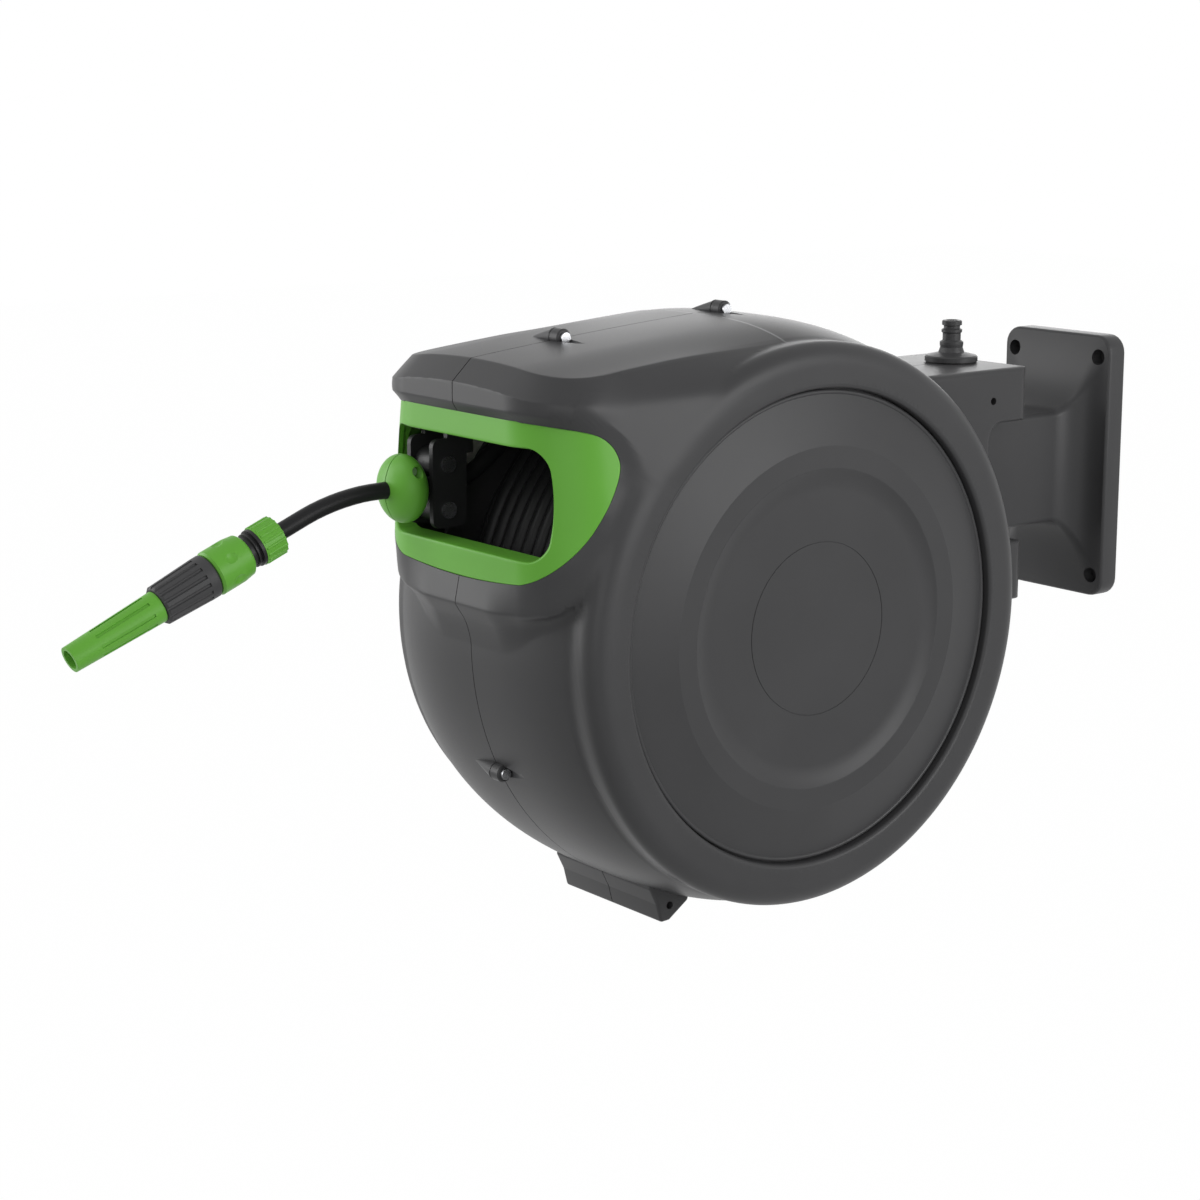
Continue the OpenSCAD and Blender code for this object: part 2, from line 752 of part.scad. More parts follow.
module boss_tails() {
    for (p = boss_places)
        difference() {
            translate([-boss_l, p[0], p[1]]) rotate([0, -90, 0])
                cylinder(r1 = boss_r, r2 = boss_tail_r, h = boss_tail_l);
            x_rod(norm(p) - boss_r/2, -2*boss_tail_l, 0);
        }
}

// Side covers: dished disc with a raised ring, a sloping band and a skirt that stands on the side wall
module side_cover() {
    difference() {
        x_turned([[0, cover_dish_x], [cover_dish_r, cover_dish_x], [cover_ring_in_r, cover_ring_x],
            [cover_ring_r, cover_ring_x], [cover_r, cover_edge_x], [cover_r, wall_out_x], [0, wall_out_x]]);
        x_turned([[0, cover_dish_x - cover_t], [cover_dish_r, cover_dish_x - cover_t],
            [cover_ring_in_r, cover_ring_x - cover_t], [cover_ring_r, cover_ring_x - cover_t],
            [cover_r - skirt_t, cover_edge_x - cover_t], [cover_r - skirt_t, wall_out_x - overrun],
            [0, wall_out_x - overrun]]);
    }
}
module right_side_cover() { color(cover_grey) at_drum() side_cover(); }
module left_side_cover() { color(cover_grey) at_drum() mirrored_x() side_cover(); }

// Mouth bezel: wraps round the nose, with a lip behind the casing wall and a short mouth tube
module mouth_bezel() {
    color(leaf_green) at_drum() difference() {
        union() {
            intersection() {
                difference() {
                    nose(bezel_inset);
                    nose(bezel_inset + bezel_t);
                }
                bezel_prism(0);
            }
            intersection() {
                difference() {
                    nose(wall + seat_gap);
                    nose(wall + seat_gap + bezel_lip_t);
                }
                bezel_prism(bezel_lip);
            }
            intersection() {
                nose(bezel_inset);
                along_y(-bezel_front, -mouth_back)
                    mouth_outline(mouth_wall);
            }
        }
        mouth_prism(0);
        x_rod(lip_r + loose_gap, -rim_x - overrun, rim_x + overrun);
    }
}

// Screws that close the seam
module seam_screws() {
    color(steel) at_drum() for (p = boss_places) at_point(p[0], p[1]) {
        x_rod(boss_screw_r, -boss_l + boss_head_t, boss_l);
        x_rod(boss_head_r, boss_l, boss_l + boss_head_t);
    }
}

// Wall bracket: arm, flare and plate from a plan outline crossed with a side outline
function flare(small, large) = [for (i = [0:flare_steps]) let (a = 90*i/flare_steps)
    [large - (large - small)*cos(a), -plate_t - flare_l + flare_l*sin(a)]];
function flared(small, large, front) = concat([[small, front]], flare(small, large), [[large, -plate_t]]);
module both_sides(points) {
    polygon(concat(points, [for (i = [len(points) - 1:-1:0]) [-points[i][0], points[i][1]]]));
}
module bracket_body() {
    intersection() {
        translate([0, 0, -plate_h]) linear_extrude(2*plate_h)
            both_sides(flared(arm_w/2, plate_w/2 - flare_rim, -pivot_to_wall));
        rotate([0, -90, 0]) translate([0, 0, -plate_w]) linear_extrude(2*plate_w)
            both_sides(flared(arm_h/2, plate_h/2 - flare_rim, -pivot_to_wall - arm_w));
        along_y(-pivot_to_wall - arm_w, 0)
            polygon(round_box(-plate_w/2 + flare_rim, plate_w/2 - flare_rim, -plate_h/2 + flare_rim,
                plate_h/2 - flare_rim, plate_corner_r - flare_rim));
    }
    translate([0, -pivot_to_wall, 0]) z_rod(arm_w/2, -arm_h/2, arm_h/2);
    along_y(-plate_t, 0) polygon(round_box(-plate_w/2, plate_w/2, -plate_h/2, plate_h/2, plate_corner_r));
}
module wall_bracket() {
    color(case_grey) difference() {
        bracket_body();
        difference() {
            along_y(-back_depth, overrun)
                polygon(round_box(-plate_w/2 + back_rim, plate_w/2 - back_rim, -plate_h/2 + back_rim,
                    plate_h/2 - back_rim, plate_corner_r - back_rim));
            for (x = [-1, 1], z = [-1, 1])
                translate([x*bolt_dx/2, 0, z*bolt_dz/2]) rotate([90, 0, 0])
                    cylinder(r = back_boss_r, h = 2*plate_t, center = true);
            cube([back_rib_t, 2*plate_t, plate_h], center = true);
            for (z = [-1, 0, 1])
                translate([0, 0, z*arm_h/2]) cube([plate_w, 2*plate_t, back_rib_t], center = true);
        }
        for (x = [-1, 1], z = [-1, 1])
            translate([x*bolt_dx/2, 0, z*bolt_dz/2]) rotate([90, 0, 0]) {
                cylinder(r = bolt_r, h = 4*plate_t, center = true);
                translate([0, 0, bolt_seat_t]) cylinder(r = bolt_seat_r, h = 2*plate_t);
            }
        translate([0, -pivot_to_wall, 0]) z_rod(bush_r, -plate_h, plate_h);
    }
}
module pivot_bushes() {
    color(gear_white) for (side = [0, 1]) mirror([0, 0, side]) translate([0, -pivot_to_wall, 0])
        difference() {
            union() {
                z_rod(bush_r, arm_h/2 - bush_l, arm_h/2);
                z_rod(bush_flange_r, arm_h/2, arm_h/2 + bush_flange_t);
            }
            z_rod(pivot_r + run_gap, 0, arm_h);
        }
}

// Pivot tube, clamped between the casing halves, and the water inlet on its top
module pivot_tube() {
    color(steel) at_drum() at_point(pivot_y, 0) difference() {
        z_rod(pivot_r, clevis_low + clevis_wall, clevis_top);
        z_rod(pivot_bore_r, clevis_low + 2*clevis_wall, clevis_top + overrun);
        at_point(-pivot_r, pipe_z - pivot_r*tan(pipe_tilt)) rotate([90 + pipe_tilt, 0, 0])
            cylinder(r = pipe_bore_r, h = 2*pivot_r, center = true);
    }
}
module inlet_washer() {
    color(hose_black) at_drum() at_point(pivot_y, clevis_top) difference() {
        z_rod(washer_r, 0, washer_t);
        z_rod(pivot_bore_r, -overrun, washer_t + overrun);
    }
}
module inlet_nipple() {
    color(case_grey) at_drum() at_point(pivot_y, clevis_top + washer_t) difference() {
        rotate_extrude() polygon(concat([[0, 0]],
            [for (i = [0:len(nipple_z) - 1]) [nipple_r[i], nipple_z[i]]],
            [[0, nipple_z[len(nipple_z) - 1]]]));
        z_rod(pivot_bore_r - overrun, -overrun, 2*flange_disc_r);
    }
}

// Feed pipe: drawn in the plane of the drum axis and the pivot, then tilted up to it
module feed_path() { rotate([pipe_tilt, 0, 0]) children(); }
module feed_bore() {
    feed_path() rotate([-90, 0, 0]) cylinder(r = pipe_r + loose_gap, h = pipe_start_r + pivot_r);
}
module bent_pipe(r) {
    translate([0, pipe_run_r + pipe_bend_r, 0]) rotate([-90, 0, 0])
        cylinder(r = r, h = pipe_start_r + pivot_r - pipe_run_r - pipe_bend_r);
    translate([pipe_bend_r, pipe_run_r + pipe_bend_r, 0]) rotate([0, 0, 180])
        rotate_extrude(angle = 90) translate([pipe_bend_r, 0]) circle(r = r);
    at_point(pipe_run_r, 0) x_rod(r, pipe_bend_r, pipe_x - pipe_bend_r);
    translate([pipe_x - pipe_bend_r, pipe_run_r - pipe_bend_r, 0])
        rotate_extrude(angle = 90) translate([pipe_bend_r, 0]) circle(r = r);
    translate([pipe_x, union_r, 0]) rotate([-90, 0, 0])
        cylinder(r = r, h = pipe_run_r - pipe_bend_r - union_r);
}
module feed_pipe() {
    color(dark_plastic) at_drum() difference() {
        feed_path() bent_pipe(pipe_r);
        at_point(pivot_y, 0) z_rod(pivot_r + run_gap, clevis_low, clevis_top + overrun);
    }
}

// Axle with its water union, seals and spring arbor
module main_axle() {
    color(steel) at_drum() difference() {
        x_rod(axle_r, -axle_end_x, axle_end_x);
        x_rod(pivot_bore_r, outlet_x - 2*pivot_bore_r, axle_end_x - wall);
        translate([outlet_x, 0, 0]) cylinder(r = outlet_bore_r, h = 2*axle_r);
        feed_path() translate([pipe_x, 0, 0]) rotate([-90, 0, 0]) cylinder(r = pipe_bore_r, h = 2*axle_r);
    }
}
module axle_union() {
    color(dark_plastic) at_drum() difference() {
        x_rod(union_r, union_x, wall_x - loose_gap);
        x_rod(axle_r + run_gap, 0, rim_x);
        feed_path() translate([pipe_x, 0, 0]) rotate([-90, 0, 0]) cylinder(r = pipe_bore_r, h = 2*union_r);
        feed_path() translate([pipe_x, union_r - run_gap, 0]) rotate([-90, 0, 0])
            cylinder(r = pipe_r + run_gap, h = union_r);
    }
}
module axle_seals() {
    color(hose_black) at_drum() for (x = seal_places) translate([x, 0, 0]) rotate([0, 90, 0])
        rotate_extrude() translate([axle_r + seal_r + run_gap, 0]) circle(r = seal_r, $fn = 24);
}
module spring_arbor() {
    color(drum_grey) at_drum() x_tube(arbor_r, axle_r + run_gap, spring_x, spring_x + spring_w);
}

// Drum: barrel, flanges on hubs, bushes, gear, water outlet and the recoil spring in its cup
module drum_barrel() {
    color(drum_grey) at_drum() difference() {
        x_rod(barrel_r, -drum_hw, drum_hw);
        x_rod(barrel_r - barrel_wall, -rim_x, rim_x);
        translate([outlet_x, 0, 0]) cylinder(r = outlet_r + seat_gap, h = 2*barrel_r);
    }
}
module flange(hub) {
    difference() {
        union() {
            x_rod(flange_r, drum_hw, drum_hw + flange_t);
            x_rod(hub_r, drum_hw - hub, drum_hw);
            x_tube(barrel_r - barrel_wall, barrel_r - 2*barrel_wall, drum_hw - 2*barrel_wall, drum_hw);
        }
        x_rod(drum_bush_r, 0, rim_x);
    }
}
function saw(i) = let (a = 360/ratchet_teeth) [[ratchet_r*cos(a*i), ratchet_r*sin(a*i)],
    [(ratchet_r - ratchet_depth)*cos(a*i), (ratchet_r - ratchet_depth)*sin(a*i)]];
module right_flange() {
    color(drum_grey) at_drum() difference() {
        union() {
            flange(spring_hub_l);
            along_x(drum_hw + flange_t, drum_hw + flange_t + ratchet_t)
                polygon([for (i = [0:ratchet_teeth - 1]) each saw(i)]);
        }
        x_rod(ratchet_in_r, drum_hw + flange_t, rim_x);
        x_rod(drum_bush_r, 0, rim_x);
    }
}
module left_flange() {
    color(drum_grey) at_drum() mirrored_x() difference() {
        flange(hub_l);
        for (i = [0:flange_window_n - 1]) rotate([360*i/flange_window_n, 0, 0])
            at_point(flange_window_place_r, 0) x_rod(flange_window_r, drum_hw - overrun, rim_x);
    }
}
module drum_bushes() {
    end = drum_hw + flange_t;
    color(brass) at_drum() {
        x_tube(drum_bush_r, axle_r + run_gap, -end, drum_bush_l - end);
        x_tube(drum_bush_r, axle_r + run_gap, end - spring_bush_l, end);
    }
}
module drum_outlet() {
    color(dark_plastic) at_drum() difference() {
        union() {
            x_rod(outlet_hub_r, outlet_x - outlet_hub_l/2, outlet_x + outlet_hub_l/2);
            translate([outlet_x, 0, 0]) cylinder(r = outlet_r, h = barrel_r);
        }
        x_rod(axle_r + run_gap, -rim_x, rim_x);
        translate([outlet_x, 0, 0]) cylinder(r = outlet_bore_r, h = 2*barrel_r);
        for (x = seal_places) translate([x, 0, 0]) rotate([0, 90, 0])
            rotate_extrude() translate([axle_r + seal_r, 0]) circle(r = seal_r + 2*run_gap, $fn = 24);
    }
}
module spring_cup() {
    color(drum_grey) at_drum() difference() {
        x_rod(cup_r, spring_x - cup_floor, drum_hw);
        x_rod(cup_r - cup_wall, spring_x + loose_gap - cup_floor, spring_x + spring_w + loose_gap);
        x_rod(hub_r + seat_gap, 0, rim_x);
        x_rod(arbor_r + loose_gap, 0, spring_x + spring_w + loose_gap);
    }
}
module spring_cover() {
    color(drum_grey) at_drum() x_tube(cup_r - cup_wall - seat_gap, arbor_r + loose_gap,
        spring_x - cup_floor + loose_gap, spring_x - loose_gap);
}
function spiral(i, t) = let (n = spring_turns*spring_steps, a = 360*i/spring_steps,
    r = spring_r_in + (spring_r_out - spring_r_in)*i/n + t) [r*cos(a), r*sin(a)];
module recoil_spring() {
    n = spring_turns*spring_steps;
    color(steel) at_drum() along_x(spring_x, spring_x + spring_w)
        polygon(concat([for (i = [0:n]) spiral(i, 0)], [for (i = [n:-1:0]) spiral(i, spring_t)]));
}

// Hose on the drum: plain buried layers, and the outer layer as one unbroken tube
module hose_core() { color(hose_black) at_drum() x_tube(core_r, barrel_r + seat_gap, -drum_hw, drum_hw); }
function lead_angle() = 180 - (90 - lead_slope);
function wind_point(i) = let (a = lead_angle() - 360*i/wind_rings)
    [guide_x + wind_pitch*i/wind_rings, wind_r*cos(a), wind_r*sin(a)];
function wind_tangent(i) = let (a = lead_angle() - 360*i/wind_rings) [0, sin(a), -cos(a)];
wind_count = wind_turns*wind_rings;
wind_path = concat([wind_point(0) - hose_d*wind_tangent(0)], [for (i = [0:wind_count]) wind_point(i)],
    [wind_point(wind_count) + hose_d*wind_tangent(wind_count)]);
wind_ways = concat([wind_tangent(0)], [for (i = [0:wind_count]) wind_tangent(i)],
    [wind_tangent(wind_count)]);
function unit(v) = v/norm(v);
function ring(p, way, side, r, n) = let (u = unit(cross(way, side)), v = cross(u, way))
    [for (k = [0:n - 1]) p + r*(cos(360*k/n)*v + sin(360*k/n)*u)];
function tube_faces(rings, n) = concat([for (k = [1:n - 2]) [0, k, k + 1]],
    [for (j = [0:rings - 2], k = [0:n - 1]) each [
        [j*n + k, (j + 1)*n + k, (j + 1)*n + (k + 1)%n],
        [j*n + k, (j + 1)*n + (k + 1)%n, j*n + (k + 1)%n]]],
    [for (k = [1:n - 2]) let (e = (rings - 1)*n) [e, e + k + 1, e + k]]);
module tube(path, ways, r, n) {
    points = [for (i = [0:len(path) - 1]) each ring(path[i], unit(ways[i]), [1, 0, 0], r, n)];
    polyhedron(points, tube_faces(len(path), n));
}
wind_least = min([for (i = [0:wind_rings:wind_count - wind_rings - 1], k = [-3:3])
    norm(wind_point(i + wind_rings + k) - wind_point(i))]) - hose_d;
echo(least_gap_between_turns = wind_least);
module hose_winding() { color(hose_black) at_drum() tube(wind_path, wind_ways, hose_r, wind_sides); }

// Gears with involute flanks and a little play
function involute(a) = tan(a)*180/PI - a;
function tooth_half(r, n) = let (rp = gear_m*n/2) 90/n - gear_play/rp*90/PI + involute(pressure_angle)
    - involute(acos(min(1, rp*cos(pressure_angle)/r)));
function flank_point(n, c, side, low, tip, k) =
    let (r = low + (tip - low)*k/gear_steps, b = c + side*tooth_half(r, n)) [r*cos(b), r*sin(b)];
function tooth(n, c, root, low, tip) = let (h = tooth_half(low, n)) concat(
    [[root*cos(c - h), root*sin(c - h)]],
    [for (k = [0:gear_steps]) flank_point(n, c, -1, low, tip, k)],
    [for (k = [gear_steps:-1:0]) flank_point(n, c, 1, low, tip, k)],
    [[root*cos(c + h), root*sin(c + h)]]);
function gear_points(n, phase) = let (rp = gear_m*n/2, root = rp - gear_root_share*gear_m, tip = rp + gear_m)
    [for (i = [0:n - 1]) each tooth(n, phase + 360*i/n, root, max(root, rp*cos(pressure_angle)), tip)];
module gear(n, phase) { along_x(-gear_x - gear_t, -gear_x) polygon(gear_points(n, phase)); }
module drum_gear() {
    color(gear_white) at_drum() difference() {
        union() {
            gear(small_teeth, idler_angle);
            x_rod(gear_hub_r, -gear_x, -drum_hw - flange_t);
        }
        x_rod(axle_r + loose_gap, -rim_x, rim_x);
    }
}
module idler_gear() {
    color(gear_white) at_drum() at_point(idler_y, idler_z) difference() {
        gear(idler_teeth, idler_phase);
        x_rod(idler_pin_r + run_gap, -rim_x, rim_x);
        for (i = [0:5]) rotate([60*i, 0, 0])
            at_point(idler_r*idler_hole_place_share, 0) x_rod(idler_r*idler_hole_share, -rim_x, rim_x);
    }
}
module screw_gear() {
    color(gear_white) at_drum() at_point(screw_y, screw_z) difference() {
        gear(small_teeth, screw_phase);
        x_rod(screw_journal_r + run_gap, -rim_x, rim_x);
    }
}
module idler_pin() {
    color(steel) at_drum() at_point(idler_y, idler_z) x_rod(idler_pin_r, -wall_x, -gear_x + loose_gap);
}

// Traverse screw with one helical groove, its bearings and the guide rail
screw_side = atan2(rail_z - screw_z, rail_y - screw_y);
screw_l = 2*wind_pitch - 2*guide_x;
screw_rings = round(screw_steps*screw_l/wind_pitch);
screw_section = concat(
    arc([0, 0], screw_r, screw_groove_angle/2, 360 - screw_groove_angle/2, screw_land_steps),
    arc([0, 0], screw_r - screw_groove, -screw_groove_angle/2, screw_groove_angle/2, screw_groove_steps));
function screw_ring(i) = let (turn = screw_side - 360*i/screw_steps)
    [for (p = screw_section) [guide_x - wind_pitch + screw_l*i/screw_rings,
        p[0]*cos(turn) - p[1]*sin(turn), p[0]*sin(turn) + p[1]*cos(turn)]];
function journal_ring(x, i) = let (turn = screw_side - 360*i/screw_steps) [for (p = screw_section)
    let (a = turn + atan2(p[1], p[0])) [x, screw_journal_r*cos(a), screw_journal_r*sin(a)]];
module traverse_screw() {
    color(steel) at_drum() at_point(screw_y, screw_z) {
        polyhedron(concat(journal_ring(-bearing_x - bearing_l, 0), journal_ring(guide_x - wind_pitch, 0),
                [for (i = [0:screw_rings]) each screw_ring(i)],
                journal_ring(wind_pitch - guide_x, screw_rings),
                journal_ring(bearing_x + bearing_l, screw_rings)),
            screw_faces(screw_rings + 5, len(screw_section)));
    }
}
function screw_faces(rings, n) = concat([[for (k = [0:n - 1]) k]],
    [for (j = [0:rings - 2], k = [0:n - 1]) each [
        [j*n + k, (j + 1)*n + (k + 1)%n, j*n + (k + 1)%n], [j*n + k, (j + 1)*n + k, (j + 1)*n + (k + 1)%n]]],
    [[for (k = [n - 1:-1:0]) (rings - 1)*n + k]]);
module screw_bearings() {
    color(brass) at_drum() at_point(screw_y, screw_z) for (side = [0, 1]) mirror([side, 0, 0])
        x_tube(bearing_r, screw_journal_r + run_gap, bearing_x, bearing_x + bearing_l);
}
module guide_rail() {
    color(steel) at_drum() at_point(rail_y, rail_z)
        x_rod(rail_r, -bearing_x - bearing_l, bearing_x + bearing_l);
}

// Hose guide: two roller plates under a block that runs on the rail and the screw
module guide_plate() {
    polygon(round_box(guide_front, guide_back, guide_low, guide_top, guide_corner_r));
    polygon([[neck_front, guide_top - 2*guide_corner_r], [neck_back, guide_top - 2*guide_corner_r],
        [neck_back, screw_z - screw_boss_r], [screw_y, screw_z], [neck_front, screw_z]]);
}
module guide_block() {
    half = plate_gap/2 + guide_plate_t;
    at_point(screw_y, screw_z) x_rod(screw_boss_r, -half, half);
    at_point(rail_y, rail_z) rotate([screw_side - 90, 0, 0]) x_rod(rail_boss_r, -half, half);
    at_point(screw_y, screw_z) rotate([screw_side, 0, 0]) translate([-half, 0, -block_t/2])
        cube([2*half, norm([rail_y - screw_y, rail_z - screw_z]), block_t]);
}
module guide_carriage() {
    color(dark_plastic) at_drum() translate([guide_x, 0, 0]) difference() {
        union() {
            for (side = [0, 1]) mirror([side, 0, 0])
                along_x(plate_gap/2, plate_gap/2 + guide_plate_t) guide_plate();
            guide_block();
        }
        at_point(screw_y, screw_z) x_rod(screw_hole_r, -rim_x, rim_x);
        at_point(rail_y, rail_z) x_rod(rail_r + run_gap, -rim_x, rim_x);
        for (side = [-1, 1])
            at_point(roller_y, hose_z + side*roller_dz) x_rod(roller_pin_r + seat_gap, -rim_x, rim_x);
        at_point(screw_y, screw_z) rotate([screw_side, 0, 0]) rotate([-90, 0, 0])
            cylinder(r = follower_r + seat_gap, h = 2*screw_boss_r);
    }
}
module follower_pin() {
    color(steel) at_drum() translate([guide_x, screw_y, screw_z]) rotate([screw_side - 90, 0, 0])
        translate([0, 0, follower_tip]) cylinder(r = follower_r, h = screw_boss_r - follower_tip);
}
module roller_pins() {
    side_x = plate_gap/2 + guide_plate_t;
    color(steel) at_drum() for (side = [-1, 1]) translate([guide_x, roller_y, hose_z + side*roller_dz]) {
        x_rod(roller_pin_r, -side_x, side_x);
        x_rod(pin_head_r, side_x, side_x + pin_head_t);
        x_rod(pin_head_r, -side_x - pin_head_t, -side_x);
    }
}
module roller() {
    half = plate_gap/2 - loose_gap;
    difference() {
        x_turned([[0, -half], [roller_r, -half], [roller_r, -half*roller_land_share],
            [roller_r - roller_waist, 0], [roller_r, half*roller_land_share], [roller_r, half], [0, half]]);
        x_rod(roller_pin_r + run_gap, -rim_x, rim_x);
    }
}
module roller_at(side) { at_drum() translate([guide_x, roller_y, hose_z + side*roller_dz]) roller(); }
module upper_roller() { color(dark_plastic) roller_at(1); }
module lower_roller() { color(dark_plastic) roller_at(-1); }

// Hose from the drum's tangent to the stopper: a straight, a bend behind the rollers and a straight
lead_path = concat([[0, stopper_y, hose_z]],
    [for (i = [0:lead_steps]) let (a = lead_slope*i/lead_steps)
        [0, lead_bend_y + lead_bend_r*sin(a), hose_z + lead_bend_r*(1 - cos(a))]],
    [[0, lead_end_y + lead_l*cos(lead_slope), lead_end_z + lead_l*sin(lead_slope)]]);
lead_ways = concat([[0, 1, 0]],
    [for (i = [0:lead_steps]) let (a = lead_slope*i/lead_steps) [0, cos(a), sin(a)]],
    [[0, cos(lead_slope), sin(lead_slope)]]);
module hose_lead() {
    color(hose_black) at_drum() translate([guide_x, 0, 0]) tube(lead_path, lead_ways, hose_r, hose_sides);
}

// Stopper: an oblate ball in two halves, held together by two screws
stopper_end = acos(stopper_bore_r/stopper_r);
function stopper_points() = [for (i = [0:stopper_steps])
    let (a = -stopper_end + 2*stopper_end*i/stopper_steps) [stopper_r*cos(a), stopper_hl*sin(a)]];
module stopper_half() {
    difference() {
        at_point(stopper_y, hose_z) rotate([90, 0, 0]) rotate([0, 0, -90])
            rotate_extrude(angle = 180) polygon(stopper_points());
        for (side = [-1, 1]) at_point(stopper_y, hose_z + side*stopper_screw_z) {
            x_rod(stopper_screw_r + seat_gap, -overrun, 2*stopper_r);
            x_rod(stopper_head_r + seat_gap, stopper_head_x, 2*stopper_r);
        }
    }
}
module stopper_right() { color(leaf_green) at_drum() translate([guide_x, 0, 0]) stopper_half(); }
module stopper_left() {
    color(leaf_green) at_drum() translate([guide_x, 0, 0]) mirrored_x() stopper_half();
}
module stopper_screws() {
    color(steel) at_drum() for (side = [-1, 1])
        translate([guide_x, stopper_y, hose_z + side*stopper_screw_z]) mirror([side < 0 ? 1 : 0, 0, 0]) {
            x_rod(stopper_screw_r, -stopper_head_x + stopper_screw_r, stopper_head_x);
            x_rod(stopper_head_r, stopper_head_x, stopper_head_x + stopper_screw_r);
        }
}

// Free hose: one tube swept along its route
function route_way(i) =
    let (n = len(hose_route) - 1, a = hose_route[max(0, i - 1)], b = hose_route[min(n, i + 1)])
        [0, b[0] - a[0], b[1] - a[1]];
module free_hose() {
    color(hose_black) at_drum() translate([guide_x, hose_start_y, hose_z])
        tube([for (p = hose_route) [0, p[0], p[1]]], [for (i = [0:len(hose_route) - 1]) route_way(i)],
            hose_r, hose_sides);
}

// Hose end
module hose_nut() {
    color(leaf_green) at_drum() at_nozzle(0) difference() {
        union() {
            cylinder(r = nut_r - nut_rib_r/2, h = nut_l);
            for (i = [0:nut_rib_n - 1]) rotate(360*i/nut_rib_n) translate([nut_r - nut_rib_r, 0, 0])
                cylinder(r = nut_rib_r, h = nut_l - nut_rib_r, $fn = 16);
        }
        translate([0, 0, -overrun]) cylinder(r = hose_r + seat_gap, h = nut_l);
        translate([0, 0, nut_seat]) cylinder(r = neck_r + seat_gap, h = nut_l);
    }
}
module connector_body() {
    color(dark_plastic) at_drum() at_nozzle(0) difference() {
        union() {
            translate([0, 0, nut_seat]) cylinder(r = neck_r, h = body_end_s - nut_seat);
            translate([0, 0, nut_l]) cylinder(r = neck_ring_r, h = neck_ring_l);
            translate([0, 0, nut_l + 2*neck_ring_l]) cylinder(r = neck_band_r, h = neck_band_l);
        }
        translate([0, 0, nut_seat - overrun]) cylinder(r = water_r, h = body_end_s);
        translate([0, 0, collar_s]) cylinder(r = neck_bore_r, h = body_end_s);
    }
}
module connector_collar() {
    color(leaf_green) at_drum() at_nozzle(collar_s) difference() {
        rotate_extrude() polygon([[collar_wall_r, 0], [collar_r - collar_taper - collar_chamfer, 0],
            [collar_r - collar_taper, collar_chamfer], [collar_r, collar_l/3],
            [collar_r, collar_l - collar_chamfer], [collar_r - collar_chamfer, collar_l],
            [collar_wall_r, collar_l]]);
        for (i = [0:5]) rotate(60*i + 30)
            translate([collar_r + collar_dimple_r - collar_dimple_depth, 0, collar_l*collar_dimple_share])
                sphere(r = collar_dimple_r);
    }
}
module nozzle_body() {
    color(dark_plastic) at_drum() at_nozzle(grip_s) difference() {
        union() {
            difference() {
                rotate_extrude() polygon([[0, 0], [grip_r - collar_chamfer, 0], [grip_r, collar_chamfer],
                    [grip_r, grip_shoulder_l], [grip_end_r, grip_l - collar_chamfer],
                    [grip_end_r - collar_chamfer, grip_l], [0, grip_l]]);
                for (i = [0:grip_flute_n - 1]) rotate(360*i/grip_flute_n)
                    translate([grip_r, 0, grip_shoulder_l + grip_flute_r])
                        rotate([0, -atan2(grip_r - grip_end_r, grip_l - grip_shoulder_l), 0])
                            cylinder(r = grip_flute_r, h = grip_l, $fn = 16);
            }
            translate([0, 0, -spigot_l]) cylinder(r = spigot_r, h = spigot_l + overrun);
            cylinder(r = stem_r, h = grip_l + stem_l);
        }
        translate([0, 0, -spigot_l - overrun])
            cylinder(r = water_r, h = spigot_l + grip_l + stem_l + 2*overrun);
        translate([0, 0, -spigot_l/2]) rotate_extrude()
            translate([spigot_r - seal_sink, 0]) circle(r = seal_ring_r + run_gap, $fn = 24);
    }
}
module nozzle_seal() {
    color(hose_black) at_drum() at_nozzle(grip_s - spigot_l/2) rotate_extrude()
        translate([spigot_r - seal_sink, 0]) circle(r = seal_ring_r - run_gap, $fn = 24);
}
function tip_r_at(s) = tip_r - (tip_r - tip_end_r)*s/tip_l;
module nozzle_tip() {
    color(leaf_green) at_drum() at_nozzle(tip_s) difference() {
        cylinder(r1 = tip_r, r2 = tip_end_r, h = tip_l);
        translate([0, 0, -overrun]) cylinder(r = stem_r + run_gap, h = stem_l + 2*overrun);
        translate([0, 0, stem_l]) cylinder(r = tip_jet_r, h = tip_l);
        translate([0, 0, tip_l - tip_mouth_l]) cylinder(r = tip_mouth_r, h = tip_l);
        for (i = [0:tip_slot_n - 1]) rotate(360*i/tip_slot_n)
            translate([tip_r_at(tip_slot_start) - tip_slot_depth, -tip_slot_w/2, tip_slot_start])
                rotate([0, -atan2(tip_r - tip_end_r, tip_l), 0]) cube([tip_r, tip_slot_w, tip_slot_l]);
    }
}

// Lock pawl: eye on its pin, finger that points at the ratchet, and a coil spring beside it
module lock_pawl() {
    color(brass) at_drum() pawl_place() difference() {
        union() {
            x_rod(pawl_eye_r, pawl_x, pawl_x + pawl_t);
            along_x(pawl_x, pawl_x + pawl_t) rotate(pawl_angle + 180)
                polygon([[0, -pawl_eye_r], [pawl_place_r - pawl_nose_r, -pawl_nose_w/2],
                    [pawl_place_r - pawl_nose_r, pawl_nose_w/2], [0, pawl_eye_r]]);
        }
        x_rod(pawl_pin_r + run_gap, 0, rim_x);
    }
}
module pawl_pin() { color(steel) at_drum() pawl_place() x_rod(pawl_pin_r, pawl_x - loose_gap, wall_x); }
pawl_ring_count = pawl_coils*pawl_spring_rings;
coil_start = pawl_x + pawl_t + pawl_wire_r + loose_gap;
function coil_point(i) = let (a = 360*i/pawl_spring_rings)
    [coil_start + pawl_coil_pitch*i/pawl_spring_rings, pawl_spring_r*cos(a), pawl_spring_r*sin(a)];
